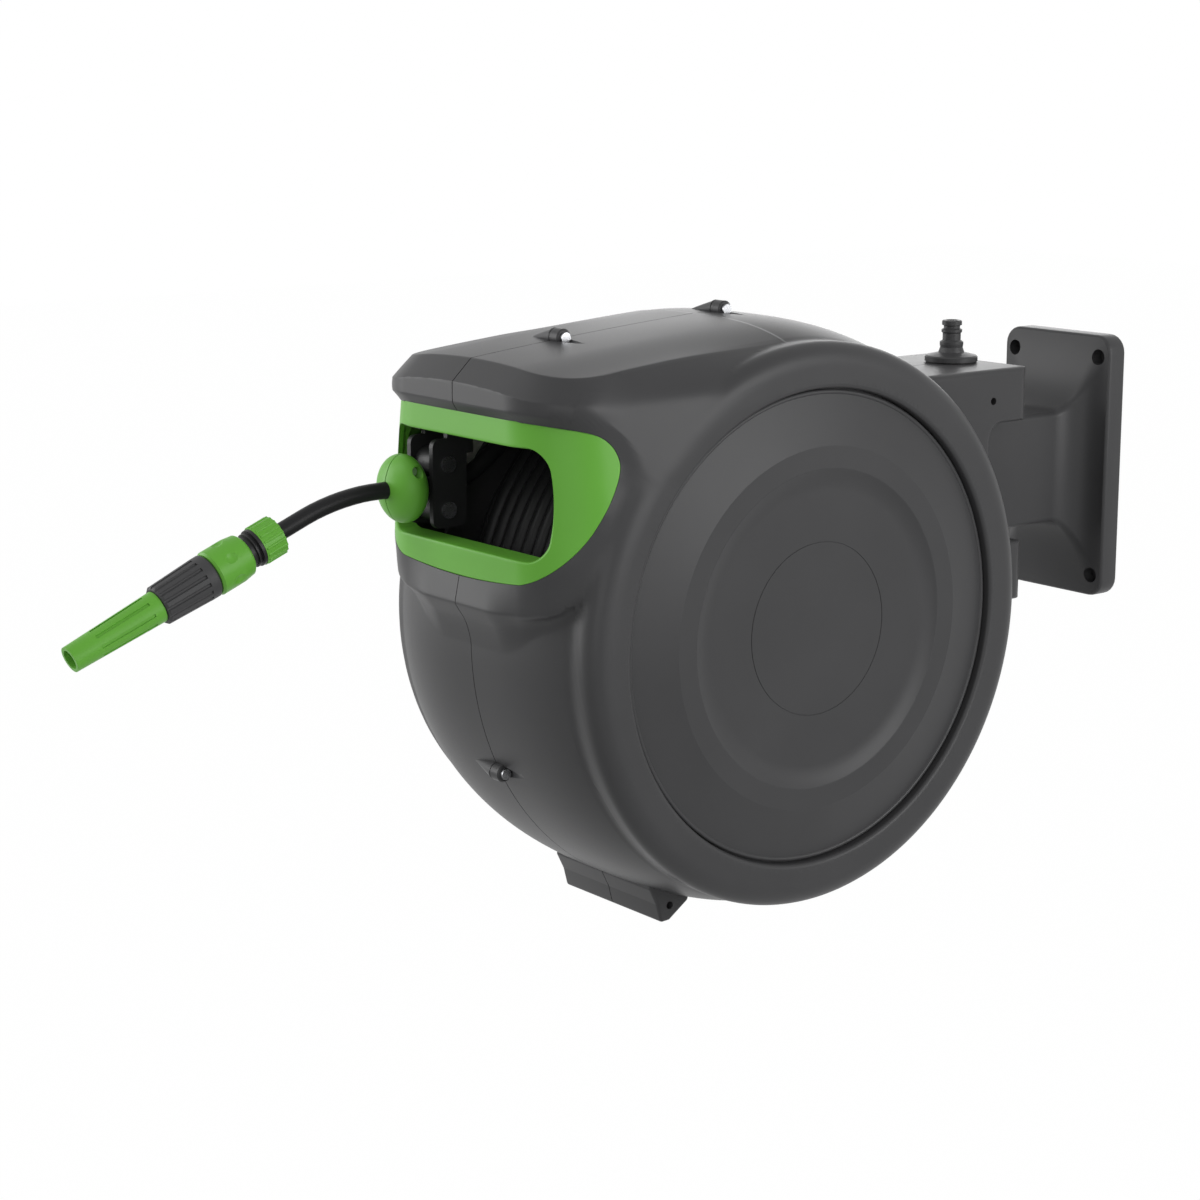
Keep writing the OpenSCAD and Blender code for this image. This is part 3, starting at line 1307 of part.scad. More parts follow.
function coil_way(i) = let (a = 360*i/pawl_spring_rings)
    [pawl_coil_pitch/(2*PI), -pawl_spring_r*sin(a), pawl_spring_r*cos(a)];
module pawl_spring() {
    color(steel) at_drum() pawl_place()
        tube([for (i = [0:pawl_ring_count]) coil_point(i)], [for (i = [0:pawl_ring_count]) coil_way(i)],
            pawl_wire_r, pawl_spring_sides);
}

wall_bracket();
pivot_bushes();
left_case();
right_case();
left_side_cover();
right_side_cover();
mouth_bezel();
seam_screws();
pivot_tube();
inlet_nipple();
inlet_washer();
feed_pipe();
axle_union();
main_axle();
axle_seals();
spring_arbor();
guide_rail();
screw_bearings();
idler_pin();
pawl_pin();
pawl_spring();
drum_barrel();
left_flange();
right_flange();
drum_bushes();
drum_gear();
drum_outlet();
spring_cup();
spring_cover();
recoil_spring();
hose_core();
hose_winding();
idler_gear();
traverse_screw();
screw_gear();
guide_carriage();
follower_pin();
roller_pins();
hose_lead();
stopper_left();
stopper_right();
stopper_screws();
free_hose();
hose_nut();
connector_body();
upper_roller();
lower_roller();
connector_collar();
nozzle_body();
nozzle_seal();
nozzle_tip();
lock_pawl();
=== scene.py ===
import math

import bpy
import numpy as np
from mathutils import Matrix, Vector


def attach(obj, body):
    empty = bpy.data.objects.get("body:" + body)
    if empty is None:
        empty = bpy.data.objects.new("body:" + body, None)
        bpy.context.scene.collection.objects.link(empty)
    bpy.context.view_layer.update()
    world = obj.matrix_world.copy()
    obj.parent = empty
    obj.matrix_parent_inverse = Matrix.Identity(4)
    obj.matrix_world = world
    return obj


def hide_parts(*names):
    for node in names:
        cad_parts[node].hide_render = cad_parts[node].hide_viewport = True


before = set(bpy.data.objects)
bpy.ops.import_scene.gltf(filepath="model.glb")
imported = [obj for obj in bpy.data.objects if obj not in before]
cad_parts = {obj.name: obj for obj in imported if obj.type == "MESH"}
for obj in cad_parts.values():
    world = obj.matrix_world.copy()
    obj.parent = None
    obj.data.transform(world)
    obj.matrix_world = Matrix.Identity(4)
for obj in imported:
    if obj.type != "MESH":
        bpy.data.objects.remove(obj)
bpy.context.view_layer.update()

# Lengths are millimetres from the drum's axis, X to the right side, Y to the wall, Z up
MM = 0.001
REACH = 405
DROP = 72.5
SHARP_ANGLE = 32

# Radius at a turned axis, rings of a round edge, share of a side that its round corner may take,
# a way along which no path starts, and how far a cutting solid runs past what it cuts
ON_AXIS = 0.01
EDGE_RINGS = 6
LEG_SHARE = 0.45
NO_PATH_WAY = (0.31, 0.17, 0.93)
PAST = 1
END_PAST = 5


def to_part(points):
    """Points in millimetres from the drum's axis, as metres in the part's frame."""
    return (np.asarray(points, float) - (0, REACH, DROP))*MM


def smooth(t):
    """A soft step from 0 to 1."""
    t = np.clip(t, 0, 1)
    return t*t*(3 - 2*t)


def fade(value, start, end):
    """0 before the start, 1 past the end, softly between; the start may be the greater."""
    return smooth((value - start)/(end - start))


def round_max(a, b, r):
    """Where both gaps must be negative, with a round edge of radius r."""
    u = np.maximum(a + r, 0)
    v = np.maximum(b + r, 0)
    return np.hypot(u, v) + np.minimum(np.maximum(a, b) + r, 0) - r


def round_min(a, b, r):
    """Where either gap may be negative, with a fillet of radius r."""
    return -round_max(-a, -b, r)


def arc(centre, radius, start, end, steps):
    """Points on an arc in a plane, angles in degrees."""
    angles = np.radians(np.linspace(start, end, steps + 1))
    return [(centre[0] + radius*math.cos(a), centre[1] + radius*math.sin(a)) for a in angles]


def curve_through(points, steps):
    """A smooth open curve through points in a plane."""
    p = np.asarray(points, float)
    p = np.vstack([2*p[0] - p[1], p, 2*p[-1] - p[-2]])
    out = []
    for i in range(1, len(p) - 2):
        for t in np.arange(steps)/steps:
            a = 2*p[i]
            b = p[i + 1] - p[i - 1]
            c = 2*p[i - 1] - 5*p[i] + 4*p[i + 1] - p[i + 2]
            d = 3*p[i] - p[i - 1] - 3*p[i + 1] + p[i + 2]
            out.append((a + b*t + c*t*t + d*t**3)/2)
    out.append(p[-2])
    return np.array(out)


# Meshes
def shade(obj, angle=SHARP_ANGLE):
    obj.data.polygons.foreach_set("use_smooth", [True]*len(obj.data.polygons))
    obj.data.set_sharp_from_angle(angle=math.radians(angle))


def volume(points, faces):
    """Signed volume inside closed faces."""
    total = 0.0
    for face in faces:
        fan = points[list(face)]
        total += (np.cross(fan[1:-1], fan[2:])@fan[0]).sum()
    return total/6


def mesh_object(name, points, faces):
    """A closed mesh, turned the right way out."""
    points = np.asarray(points, float)
    if volume(points, faces) < 0:
        faces = [tuple(face)[::-1] for face in faces]
    mesh = bpy.data.meshes.new(name)
    mesh.from_pydata([tuple(p) for p in to_part(points)], [], [tuple(f) for f in faces])
    obj = bpy.data.objects.new(name, mesh)
    bpy.context.scene.collection.objects.link(obj)
    shade(obj)
    return obj


def grid_faces(rows, cols, wrap_rows=False, wrap_cols=False, flip=False):
    """Quads over a grid of points stored row by row."""
    faces = []
    for i in range(rows if wrap_rows else rows - 1):
        for j in range(cols if wrap_cols else cols - 1):
            a = i*cols + j
            b = i*cols + (j + 1) % cols
            c = ((i + 1) % rows)*cols + (j + 1) % cols
            d = ((i + 1) % rows)*cols + j
            faces.append((a, d, c, b) if flip else (a, b, c, d))
    return faces


def turned(name, profile, steps, place):
    """A closed profile of (radius, x) turned round the X axis, then put in place by a function."""
    p = np.asarray(profile, float)
    turns = np.radians(np.arange(steps)*360/steps)
    points = np.array([[(x, r*math.cos(a), r*math.sin(a)) for r, x in p] for a in turns])
    faces = grid_faces(steps, len(p), wrap_rows=True, wrap_cols=True)
    return mesh_object(name, place(points.reshape(-1, 3)), faces)


def prism(name, outline, x0, x1):
    """An outline of (y, z) points, counter-clockwise seen from +X, pushed from x0 to x1."""
    n = len(outline)
    points = [(x0, y, z) for y, z in outline] + [(x1, y, z) for y, z in outline]
    faces = [tuple(range(n))[::-1], tuple(range(n, 2*n))]
    faces += [(i, (i + 1) % n, n + (i + 1) % n, n + i) for i in range(n)]
    return mesh_object(name, points, faces)


def filleted(outline, radii, steps=6):
    """A counter-clockwise outline with round corners: its points and their outward ways."""
    p = np.asarray(outline, float)
    points = []
    ways = []
    corners = zip(np.roll(p, 1, 0), p, np.roll(p, -1, 0), np.broadcast_to(radii, len(p)))
    for before, here, after, radius in corners:
        into = (here - before)/np.hypot(*(here - before))
        away = (after - here)/np.hypot(*(after - here))
        turn = math.atan2(into[0]*away[1] - into[1]*away[0], np.dot(into, away))
        normals = np.array([(into[1], -into[0]), (away[1], -away[0])])
        leg = min(np.hypot(*(here - before)), np.hypot(*(after - here)))
        r = math.copysign(min(radius, LEG_SHARE*leg/math.tan(abs(turn)/2)), turn)
        centre = here - r*normals.sum(0)/(1 + math.cos(turn))
        for t in np.linspace(0, turn, steps + 1):
            way = (normals[0, 0]*math.cos(t) - normals[0, 1]*math.sin(t),
                   normals[0, 0]*math.sin(t) + normals[0, 1]*math.cos(t))
            points.append(centre + r*np.array(way))
            ways.append(way)
    return np.array(points), np.array(ways)


def soft_prism(name, outline, start, end, corner, edge, axis=0):
    """An outline of the other two axes pushed along an axis, with round corners and round end edges."""
    points, ways = filleted(outline, corner)
    turns = np.linspace(0, math.pi/2, EDGE_RINGS)
    ends = [(start + edge*(1 - math.sin(t)), edge*(1 - math.cos(t))) for t in turns[::-1]]
    ends += [(end - edge*(1 - math.sin(t)), edge*(1 - math.cos(t))) for t in turns]
    return stacked(name, [np.insert(points - ways*inset, axis, place, axis=1) for place, inset in ends])


def stacked(name, rings):
    """A solid through a stack of rings with as many points each."""
    n = len(rings[0])
    faces = grid_faces(len(rings), n, wrap_cols=True)
    faces += [tuple(range(n))[::-1], tuple(range((len(rings) - 1)*n, len(rings)*n))]
    return mesh_object(name, np.array(rings).reshape(-1, 3), faces)


def rectangle(low, high):
    """A counter-clockwise outline from one corner to the opposite one."""
    return [(low[0], low[1]), (high[0], low[1]), (high[0], high[1]), (low[0], high[1])]


def rod(name, axis, middle, radius, start, end, sides=40):
    """A round bar along Y (axis 1) or Z (axis 2), at a middle in the other two axes."""
    turns = np.radians(np.arange(sides)*360/sides)
    ring = np.asarray(middle) + radius*np.stack([np.cos(turns), np.sin(turns)], 1)
    return stacked(name, [np.insert(ring, axis, place, axis=1) for place in (start, end)])


def slab(low, high, near, far):
    """A block between two corners in (y, z) and two places along X, in either order."""
    return prism("slab", rectangle(low, high), min(near, far), max(near, far))


def plug_profile(start_r, start, end_r, end):
    """Section of a round plug along X, straight or tapered."""
    return [(ON_AXIS, start), (start_r, start), (end_r, end), (ON_AXIS, end)]


def sweep(name, path, radius, sides=20):
    """A round tube along a path, closed at both ends."""
    path = np.asarray(path, float)
    ways = np.gradient(path, axis=0)
    ways /= np.linalg.norm(ways, axis=1)[:, None]
    side = np.cross(ways[0], NO_PATH_WAY)
    points = []
    for p, way in zip(path, ways):
        side = side - way*np.dot(side, way)
        side /= np.linalg.norm(side)
        over = np.cross(way, side)
        for k in range(sides):
            a = 2*math.pi*k/sides
            points.append(p + radius*(math.cos(a)*side + math.sin(a)*over))
    return stacked(name, np.reshape(points, (len(path), sides, 3)))


def apply_modifiers(obj):
    view = bpy.context.evaluated_depsgraph_get()
    mesh = bpy.data.meshes.new_from_object(obj.evaluated_get(view))
    obj.modifiers.clear()
    obj.data = mesh


def combine(obj, operation, *tools):
    """Joins tools to a solid, cuts them out of it, or keeps what they share."""
    for tool in tools:
        step = obj.modifiers.new("step", "BOOLEAN")
        step.operation = operation
        step.solver = "MANIFOLD"
        step.object = tool
    apply_modifiers(obj)
    for tool in tools:
        bpy.data.objects.remove(tool)
    shade(obj)
    return obj


# Camera: the photograph's view
CAMERA_AT = (1.5321, -1.7048, 0.3530)
CAMERA_WAY = (-0.77147, 0.60162, -0.20710)
CAMERA_LENS = 79.724
CAMERA_SENSOR = 36


def add_camera():
    data = bpy.data.cameras.new("camera")
    data.lens = CAMERA_LENS
    data.sensor_width = CAMERA_SENSOR
    camera = bpy.data.objects.new("camera", data)
    camera.location = CAMERA_AT
    camera.rotation_euler = Vector(CAMERA_WAY).to_track_quat("-Z", "Y").to_euler()
    bpy.context.scene.collection.objects.link(camera)
    bpy.context.scene.camera = camera


# Materials: clouds in tone, grain in relief and gloss
CLOUD_SCALE = 14
CLOUD_DETAIL = 5
CLOUD_RAMP = (0.3, 0.7)
GRAIN_DETAIL = 2
GRAIN_DEPTH = 0.05
GLOSS_SPREAD = 0.05


def srgb(*levels):
    """A colour given in levels of 0 to 255, as the linear values that a shader takes."""
    parts = [v/255 for v in levels]
    return tuple(v/12.92 if v <= 0.04045 else ((v + 0.055)/1.055)**2.4 for v in parts) + (1,)


def tinted(colour, factor):
    return tuple(v*factor for v in colour[:3]) + (1,)


def moulded(name, colour, roughness, grain, grain_size, mottle=0.06, metal=0.0, sheen=0.2):
    """A moulded or plated surface: fine grain in the relief, faint clouds in tone and gloss."""
    material = bpy.data.materials.new(name)
    material.use_nodes = True
    nodes = material.node_tree.nodes
    link = material.node_tree.links.new
    shader = nodes["Principled BSDF"]
    shader.inputs["Metallic"].default_value = metal
    shader.inputs["Specular IOR Level"].default_value = sheen
    place = nodes.new("ShaderNodeTexCoord")

    clouds = nodes.new("ShaderNodeTexNoise")
    clouds.inputs["Scale"].default_value = CLOUD_SCALE
    clouds.inputs["Detail"].default_value = CLOUD_DETAIL
    link(place.outputs["Object"], clouds.inputs["Vector"])
    tone = nodes.new("ShaderNodeValToRGB")
    for stop, at, factor in zip(tone.color_ramp.elements, CLOUD_RAMP, (1 - mottle, 1 + mottle)):
        stop.position = at
        stop.color = tinted(colour, factor)
    link(clouds.outputs["Fac"], tone.inputs["Fac"])
    link(tone.outputs["Color"], shader.inputs["Base Color"])

    relief = nodes.new("ShaderNodeTexNoise")
    relief.inputs["Scale"].default_value = 1/(grain_size*MM)
    relief.inputs["Detail"].default_value = GRAIN_DETAIL
    link(place.outputs["Object"], relief.inputs["Vector"])
    gloss = nodes.new("ShaderNodeMapRange")
    gloss.inputs["To Min"].default_value = roughness - GLOSS_SPREAD
    gloss.inputs["To Max"].default_value = roughness + GLOSS_SPREAD
    link(relief.outputs["Fac"], gloss.inputs["Value"])
    link(gloss.outputs["Result"], shader.inputs["Roughness"])
    bump = nodes.new("ShaderNodeBump")
    bump.inputs["Strength"].default_value = grain
    bump.inputs["Distance"].default_value = GRAIN_DEPTH*MM
    link(relief.outputs["Fac"], bump.inputs["Height"])
    link(bump.outputs["Normal"], shader.inputs["Normal"])
    return material


MATERIALS = {
    "case_plastic": moulded("case_plastic", srgb(59, 59, 60), 0.4, 0.15, 0.7),
    "cover_plastic": moulded("cover_plastic", srgb(59, 59, 60), 0.4, 0.15, 0.7),
    "green_plastic": moulded("green_plastic", srgb(98, 164, 58), 0.40, 0.05, 0.6, mottle=0.04),
    "black_plastic": moulded("black_plastic", srgb(38, 38, 39), 0.42, 0.3, 0.6),
    "grip_rubber": moulded("grip_rubber", srgb(62, 62, 63), 0.5, 0.15, 0.6),
    "hose_rubber": moulded("hose_rubber", srgb(34, 34, 35), 0.4, 0.25, 0.9, sheen=0.12),
    "seal_rubber": moulded("seal_rubber", srgb(26, 26, 26), 0.6, 0.3, 0.6),
    "drum_plastic": moulded("drum_plastic", srgb(60, 60, 61), 0.5, 0.3, 0.8),
    "gear_plastic": moulded("gear_plastic", srgb(215, 215, 208), 0.45, 0.2, 0.8),
    "brass": moulded("brass", srgb(196, 160, 96), 0.3, 0.15, 0.4, metal=1.0),
    "steel": moulded("steel", srgb(196, 197, 200), 0.28, 0.15, 0.4, metal=1.0),
}
NODE_SLOTS = {
    "case_plastic": ["inlet_nipple"],
    "green_plastic": ["hose_nut", "connector_collar", "nozzle_tip"],
    "black_plastic": ["pivot_bushes", "guide_carriage", "upper_roller", "lower_roller", "connector_body",
                      "feed_pipe", "axle_union", "screw_bearings", "drum_bushes"],
    "grip_rubber": ["nozzle_body"],
    "seal_rubber": ["inlet_washer", "axle_seals", "nozzle_seal"],
    "drum_plastic": ["drum_barrel", "left_flange", "right_flange", "spring_cup", "spring_cover",
                     "spring_arbor"],
    "gear_plastic": ["drum_gear", "idler_gear", "screw_gear", "traverse_screw", "lock_pawl", "drum_outlet"],
    "steel": ["seam_screws", "pivot_tube", "main_axle", "guide_rail", "idler_pin", "pawl_pin", "pawl_spring",
              "recoil_spring", "follower_pin", "roller_pins", "stopper_screws"],
}


def dress(obj, slot):
    obj.data.materials.clear()
    obj.data.materials.append(MATERIALS[slot])


def settle(obj, body, slot, *nodes):
    """Gives a new piece its material and body, and hides the nodes that it stands for."""
    dress(obj, slot)
    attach(obj, body)
    if nodes:
        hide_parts(*nodes)
    return obj


# Free hose from the stopper to the nozzle: the route's points in (y, z)
HOSE_R = 6.25
FREE_SIDES = 28
GUIDE_X = -64
HOSE_ROUTE = [(-248, 104), (-258, 104), (-266, 103.8), (-274, 103.3), (-282, 102.3), (-290, 101),
              (-298, 99.3), (-306, 97.2), (-314, 94.7), (-322, 91.7), (-330, 88.4), (-338, 85.1),
              (-346, 81.8), (-355, 78.1)]


def add_free_hose():
    route = [(GUIDE_X, y, z) for y, z in HOSE_ROUTE]
    hose = sweep("free_hose_tube", route, HOSE_R, FREE_SIDES)
    settle(hose, "hose_guide", "hose_rubber", "free_hose")
    path = to_part(route)


# Casing: crowned body, valley and lip beside the rim
BODY_R = 223
CROWN_END = 98
CROWN_DROP = 11
LIP_R = 211
RIM_X = 129
RIM_ROUND_X = 13
RIM_ROUND_R = 16
RIM_FLAT_R = LIP_R - RIM_ROUND_R
LIP_END = RIM_X - RIM_ROUND_X
STEP = [(CROWN_END, BODY_R - CROWN_DROP), (100, 211.1), (102.5, 210.3), (105.5, 210.2), (110, 210.7),
        (LIP_END, LIP_R)]
RECESS_R = 177.7
RECESS_X = 119
RIM_IN_R = 181
SEAM_GAP = 0.4

# Hollow of the casing: its wall, its reach and the ring from which it is cast
SKIN = 7
CAVITY_X = 110
CAVITY_R = 100
PAST_SEAM = 2
CAVITY_TURNS = (0, 360, 2)
CAVITY_TILTS = [(0, 44, 4), (44, 56, 2), (56, 86, 5)]

# Nose: brow, front, flanks and crown
NOSE_FRONT = 237
NOSE_BACK = -15
NOSE_LOW = -60
TOP_LINE = [(-222, 204), (-145, 212.2), (0, 224)]
TOP_CROWN_R = 693
CROWN_FADE = (-125, NOSE_BACK)
FRONT_DROP = 2
SIDE_FADE = (50, 100)
FLANK_SLOPE = 0.2471
PLAN_R = 45
TOP_EDGE_R = 0.6
TOP_EDGE_X = 103
BEVEL_L = 16.5
BEVEL_H = 13.5
LEAN_GROW = 10.5
LEAN_POWER = 1.4
LEAN_POWER_GROW = 0.6
LEAN_MOST = 1.2
REAR_FADE = (-228, -168)
BROW_SWELL = 3
SWELL_FADE_Y = (-170, -210)
SWELL_FADE_Z = (166, 178)

# Fillets between the nose and the body: above, beside and under the chin
NECK_FILLET = 0.6
SIDE_FILLET = 2.4
SIDE_FILLET_FADE = (140, 100)
CHIN_FILLET = 5
CHIN_FADE = (60, 30)
CHIN_END_FADE = (-25, 5)

# Pocket round the bezel: the bezel's depth, the lid above it, the slope beside it and the chin below it
BEZEL_DEPTH = 4.4
FOOT_DEEPER = 0.4
FOOT_FADE = (72, 50)
TIP_HIGHER = 1.2
TIP_FADE = (-225, -180)
LID_W = 6.5
LID_GROW = 5
LID_FADE = (-218, -180)
POCKET_SIDE_W = 16
ABOVE_FADE = (-0.05, 0.45)
BELOW_FADE = (-0.15, -0.65)
BAND_W = 21
BAND_EDGE = 1.2
CORNER_FADE = (35, 85)
CORNER_SINK = 2
UNDER_SLOPE = 0.6
CORNER_SLOPE = 0.3

# Bezel outline on the flank in (y, z), from the front's foot round the tip to the front's top
WING = [(-240, 50), (-233, 52), (-230, 55), (-226, 59.5), (-220, 66.5), (-212, 76.5), (-203, 89),
        (-197.5, 98), (-191.5, 108), (-186, 118.5), (-182, 128), (-180, 136.5), (-181, 143),
        (-184.5, 150), (-190, 155.3), (-197, 159.2), (-208, 162.3), (-220, 164.6), (-233, 167),
        (-240, 167.5)]
WING_FRONT = -300
WING_STEPS = 8
FAR = 1e9
TINY = 1e-9
LAST_CELL = 1.001


def crown_radius(x):
    return BODY_R - CROWN_DROP*(x/CROWN_END)**3


def barrel_radius(x, side=1):
    """The body's radius along its axis, out to the rim: with a lip on the right, in one curve on the left."""
    knots = np.array(STEP)
    lip = np.interp(x, knots[:, 0], knots[:, 1])
    outer = np.where((x < CROWN_END) | (side < 0), crown_radius(x), lip)
    edge = np.where(side < 0, crown_radius(LIP_END), LIP_R)
    share = np.clip((x - LIP_END)/RIM_ROUND_X, 0, 1)
    rim = RIM_FLAT_R + (edge - RIM_FLAT_R)*np.sqrt(1 - share**2)
    return np.where(x < LIP_END, outer, rim)


def barrel_gap(x, r, side):
    return np.maximum(r - barrel_radius(np.minimum(x, RIM_X), side), x - RIM_X)


wing_curve = np.vstack([[(WING_FRONT, WING[0][1])], curve_through(WING, WING_STEPS),
                        [(WING_FRONT, WING[-1][1])]])


class Wing:
    """Distance of a place on the flank from the bezel's outline, and whether that lies above or below."""
    low = np.array([-300.0, -130.0])
    count = np.array([231, 391])

    def __init__(self):
        y = self.low[0] + np.arange(self.count[0])
        z = self.low[1] + np.arange(self.count[1])
        py, pz = np.meshgrid(y, z, indexing="ij")
        best = np.full(py.shape, FAR)
        inside = np.zeros(py.shape, bool)
        for (ay, az), (by, bz) in zip(wing_curve, np.roll(wing_curve, -1, 0)):
            dy = by - ay
            dz = bz - az
            crosses = ((az > pz) != (bz > pz)) & (py < ay + dy*(pz - az)/(dz if dz else TINY))
            inside ^= crosses
            if ay == by == WING_FRONT:
                continue
            t = np.clip(((py - ay)*dy + (pz - az)*dz)/(dy*dy + dz*dz), 0, 1)
            best = np.minimum(best, np.hypot(py - ay - t*dy, pz - az - t*dz))
        self.gap = np.where(inside, -best, best)
        self.rise = np.gradient(self.gap, axis=1)

    def read(self, table, y, z):
        u = np.clip(y - self.low[0], 0, self.count[0] - LAST_CELL)
        v = np.clip(z - self.low[1], 0, self.count[1] - LAST_CELL)
        i = u.astype(int)
        j = v.astype(int)
        u = u - i
        v = v - j
        return ((table[i, j]*(1 - u) + table[i + 1, j]*u)*(1 - v)
                + (table[i, j + 1]*(1 - u) + table[i + 1, j + 1]*u)*v)


wing = Wing()


def bezel_depth(y, z):
    """How far the bezel lies below the brow's level: most at its foot, least at the wing's tip."""
    return BEZEL_DEPTH + FOOT_DEEPER*fade(z, *FOOT_FADE) - TIP_HIGHER*fade(y, *TIP_FADE)


def pocket_depth(x, y, z):
    """How far the skin round the bezel falls below the brow's level."""
    gap = np.maximum(wing.read(wing.gap, y, z), 0)
    rise = wing.read(wing.rise, y, z)
    above = fade(rise, *ABOVE_FADE)
    below = fade(rise, *BELOW_FADE)
    beside = 1 - above - below
    depth = bezel_depth(y, z)
    top = depth*np.maximum(1 - gap/(LID_W + LID_GROW*fade(y, *LID_FADE)), 0)
    side = depth*(1 - fade(gap, 0, POCKET_SIDE_W))
    past = gap - BAND_W
    band = np.minimum(gap/BAND_W, 1)
    corner = fade(x, *CORNER_FADE)
    slope = UNDER_SLOPE + CORNER_SLOPE*corner
    low = depth*(1 - band*(1 - corner)) + CORNER_SINK*corner*band
    low = low + slope/2*(past + np.hypot(past, BAND_EDGE))
    return above*top + below*low + beside*side


def nose_top(x, y):
    """Height of the nose's top: a crowned slope that turns into the body's own crown at its back."""
    line = np.polyval(np.polyfit(*np.array(TOP_LINE).T, 2), y)
    back = fade(y, *CROWN_FADE)
    sides = x**2/(2*TOP_CROWN_R) + FRONT_DROP*fade(x, *SIDE_FADE)
    return line - (1 - back)*sides - back*(BODY_R - barrel_radius(np.minimum(x, RIM_X)))


def nose_wall(x, y, z, depth, top):
    """The nose's front and flanks, joined by a round corner in plan, leaning in below the top edge."""
    flank_x = RIM_X - FLANK_SLOPE*(np.maximum(np.hypot(y, z), RIM_FLAT_R) - RIM_FLAT_R)
    rear = fade(y, *REAR_FADE)
    lean = np.clip((z - top)/(BEVEL_H + LEAN_GROW*rear) + 1, 0, LEAN_MOST)
    lean = lean**(LEAN_POWER + LEAN_POWER_GROW*rear)
    swell = BROW_SWELL*fade(z, *SWELL_FADE_Z)*fade(y, *SWELL_FADE_Y)
    bevel = np.clip((z - top)/BEVEL_H + 1, 0, LEAN_MOST)
    front = -y - NOSE_FRONT + depth + BEVEL_L*bevel
    flank = (x - flank_x)/math.hypot(1, FLANK_SLOPE) + depth - swell
    flank = flank + np.maximum(flank_x - TOP_EDGE_X, 0)*lean
    return round_max(front, flank, PLAN_R)


def folded(p):
    """Coordinates of points, those left of the seam mirrored to the right."""
    return np.abs(p[..., 0]), p[..., 1], p[..., 2]


def skin_gap(p):
    """Signed distance of points from the casing's outer skin, negative inside."""
    x, y, z = folded(p)
    top = nose_top(x, y)
    wall = nose_wall(x, y, z, pocket_depth(x, y, z), top)
    nose = np.maximum(round_max(wall, z - top, TOP_EDGE_R), np.maximum(y - NOSE_BACK, NOSE_LOW - z))
    fillet = NECK_FILLET + SIDE_FILLET*fade(z, *SIDE_FILLET_FADE)
    fillet = fillet + CHIN_FILLET*fade(z, *CHIN_FADE)*fade(z, *CHIN_END_FADE)
    return round_min(barrel_gap(x, np.hypot(y, z), np.sign(p[..., 0])), nose, fillet)


# Rays that find a skin: where they start and end, and how often the stretch is halved
RAY_NEAR = 5
RAY_FAR = 300
RAY_TRIES = 30


def cast(gap, start, way, far=RAY_FAR):
    """The point on each ray where the gap turns positive."""
    low = np.full(way.shape[:-1], float(RAY_NEAR))
    high = np.full(way.shape[:-1], float(far))
    for _ in range(RAY_TRIES):
        middle = (low + high)/2
        inside = gap(start + way*middle[..., None]) < 0
        low = np.where(inside, middle, low)
        high = np.where(inside, high, middle)
    return start + way*high[..., None]


def cast_round(gap, turns, tilts, centre_r, side):
    """Points on a skin: rays from a ring round the axis, turned about it and tilted to one side."""
    out = np.stack([np.zeros_like(turns), -np.cos(turns), np.sin(turns)], -1)
    way = out*np.cos(tilts)[..., None]
    way[..., 0] = side*np.sin(tilts)
    return cast(gap, out*centre_r, way)


def skin_points(turns, tilts, centre_r, gap, side):
    """A grid of points on a skin, rows at turns in degrees, columns at tilts."""
    turn, tilt = np.broadcast_arrays(np.radians(turns)[:, None], tilts)
    return cast_round(gap, turn, tilt, centre_r, side)


def closed_rings(name, points):
    """A solid from rings of points, rows round the axis and columns along it, with flat ends."""
    rows, cols = points.shape[:2]
    faces = grid_faces(rows, cols, wrap_rows=True, flip=True)
    faces.append(tuple(i*cols for i in range(rows))[::-1])
    faces.append(tuple(i*cols + cols - 1 for i in range(rows)))
    return mesh_object(name, points.reshape(-1, 3), faces)


# Grid of the skin: rays' ring, turns in degrees (start, end, step), the shoulder edge's turns and tries
RAY_R = 120
NOSE_TURNS = (-30, 98)
TURN_STEPS = [(-30, 2, 0.4), (2, 12, 0.2), (12, 30, 0.4), (30, 45, 0.15), (45, 98, 0.4), (98, 330, 1.5)]
EDGE_TURNS = (43.5, 92, 0.5)
EDGE_TILT_MOST = 60
EDGE_TRIES = 16
CROWN_COLUMNS = 56
LIP_COLUMNS = [105, 107.5, 110, 113]
RIM_COLUMNS = 9
RIM_FLAT_RINGS = (190, 186, RIM_IN_R)
PLAIN_TILT = math.atan2(CROWN_END, BODY_R - CROWN_DROP - RAY_R)


def skin_tilts(side):
    """Tilts that fall on the body's step, lip and rim."""
    crown = np.linspace(SEAM_GAP, CROWN_END - 1, CROWN_COLUMNS)
    lip = [x for x, _ in STEP[:4]] + LIP_COLUMNS
    rim = LIP_END + RIM_ROUND_X*np.sin(np.linspace(0, math.pi/2, RIM_COLUMNS))
    x = np.concatenate([crown, lip, rim, [RIM_X]*len(RIM_FLAT_RINGS)])
    r = np.concatenate([barrel_radius(x[:-len(RIM_FLAT_RINGS)], side), RIM_FLAT_RINGS])
    return np.arctan2(x, r - RAY_R)


def on_wall(turns, tilts, side):
    """Whether the skin at given turns and tilts is the nose's wall, and not its top."""
    x, y, z = folded(cast_round(skin_gap, turns, tilts, RAY_R, side))
    top = nose_top(x, y)
    return nose_wall(x, y, z, pocket_depth(x, y, z), top) > z - top


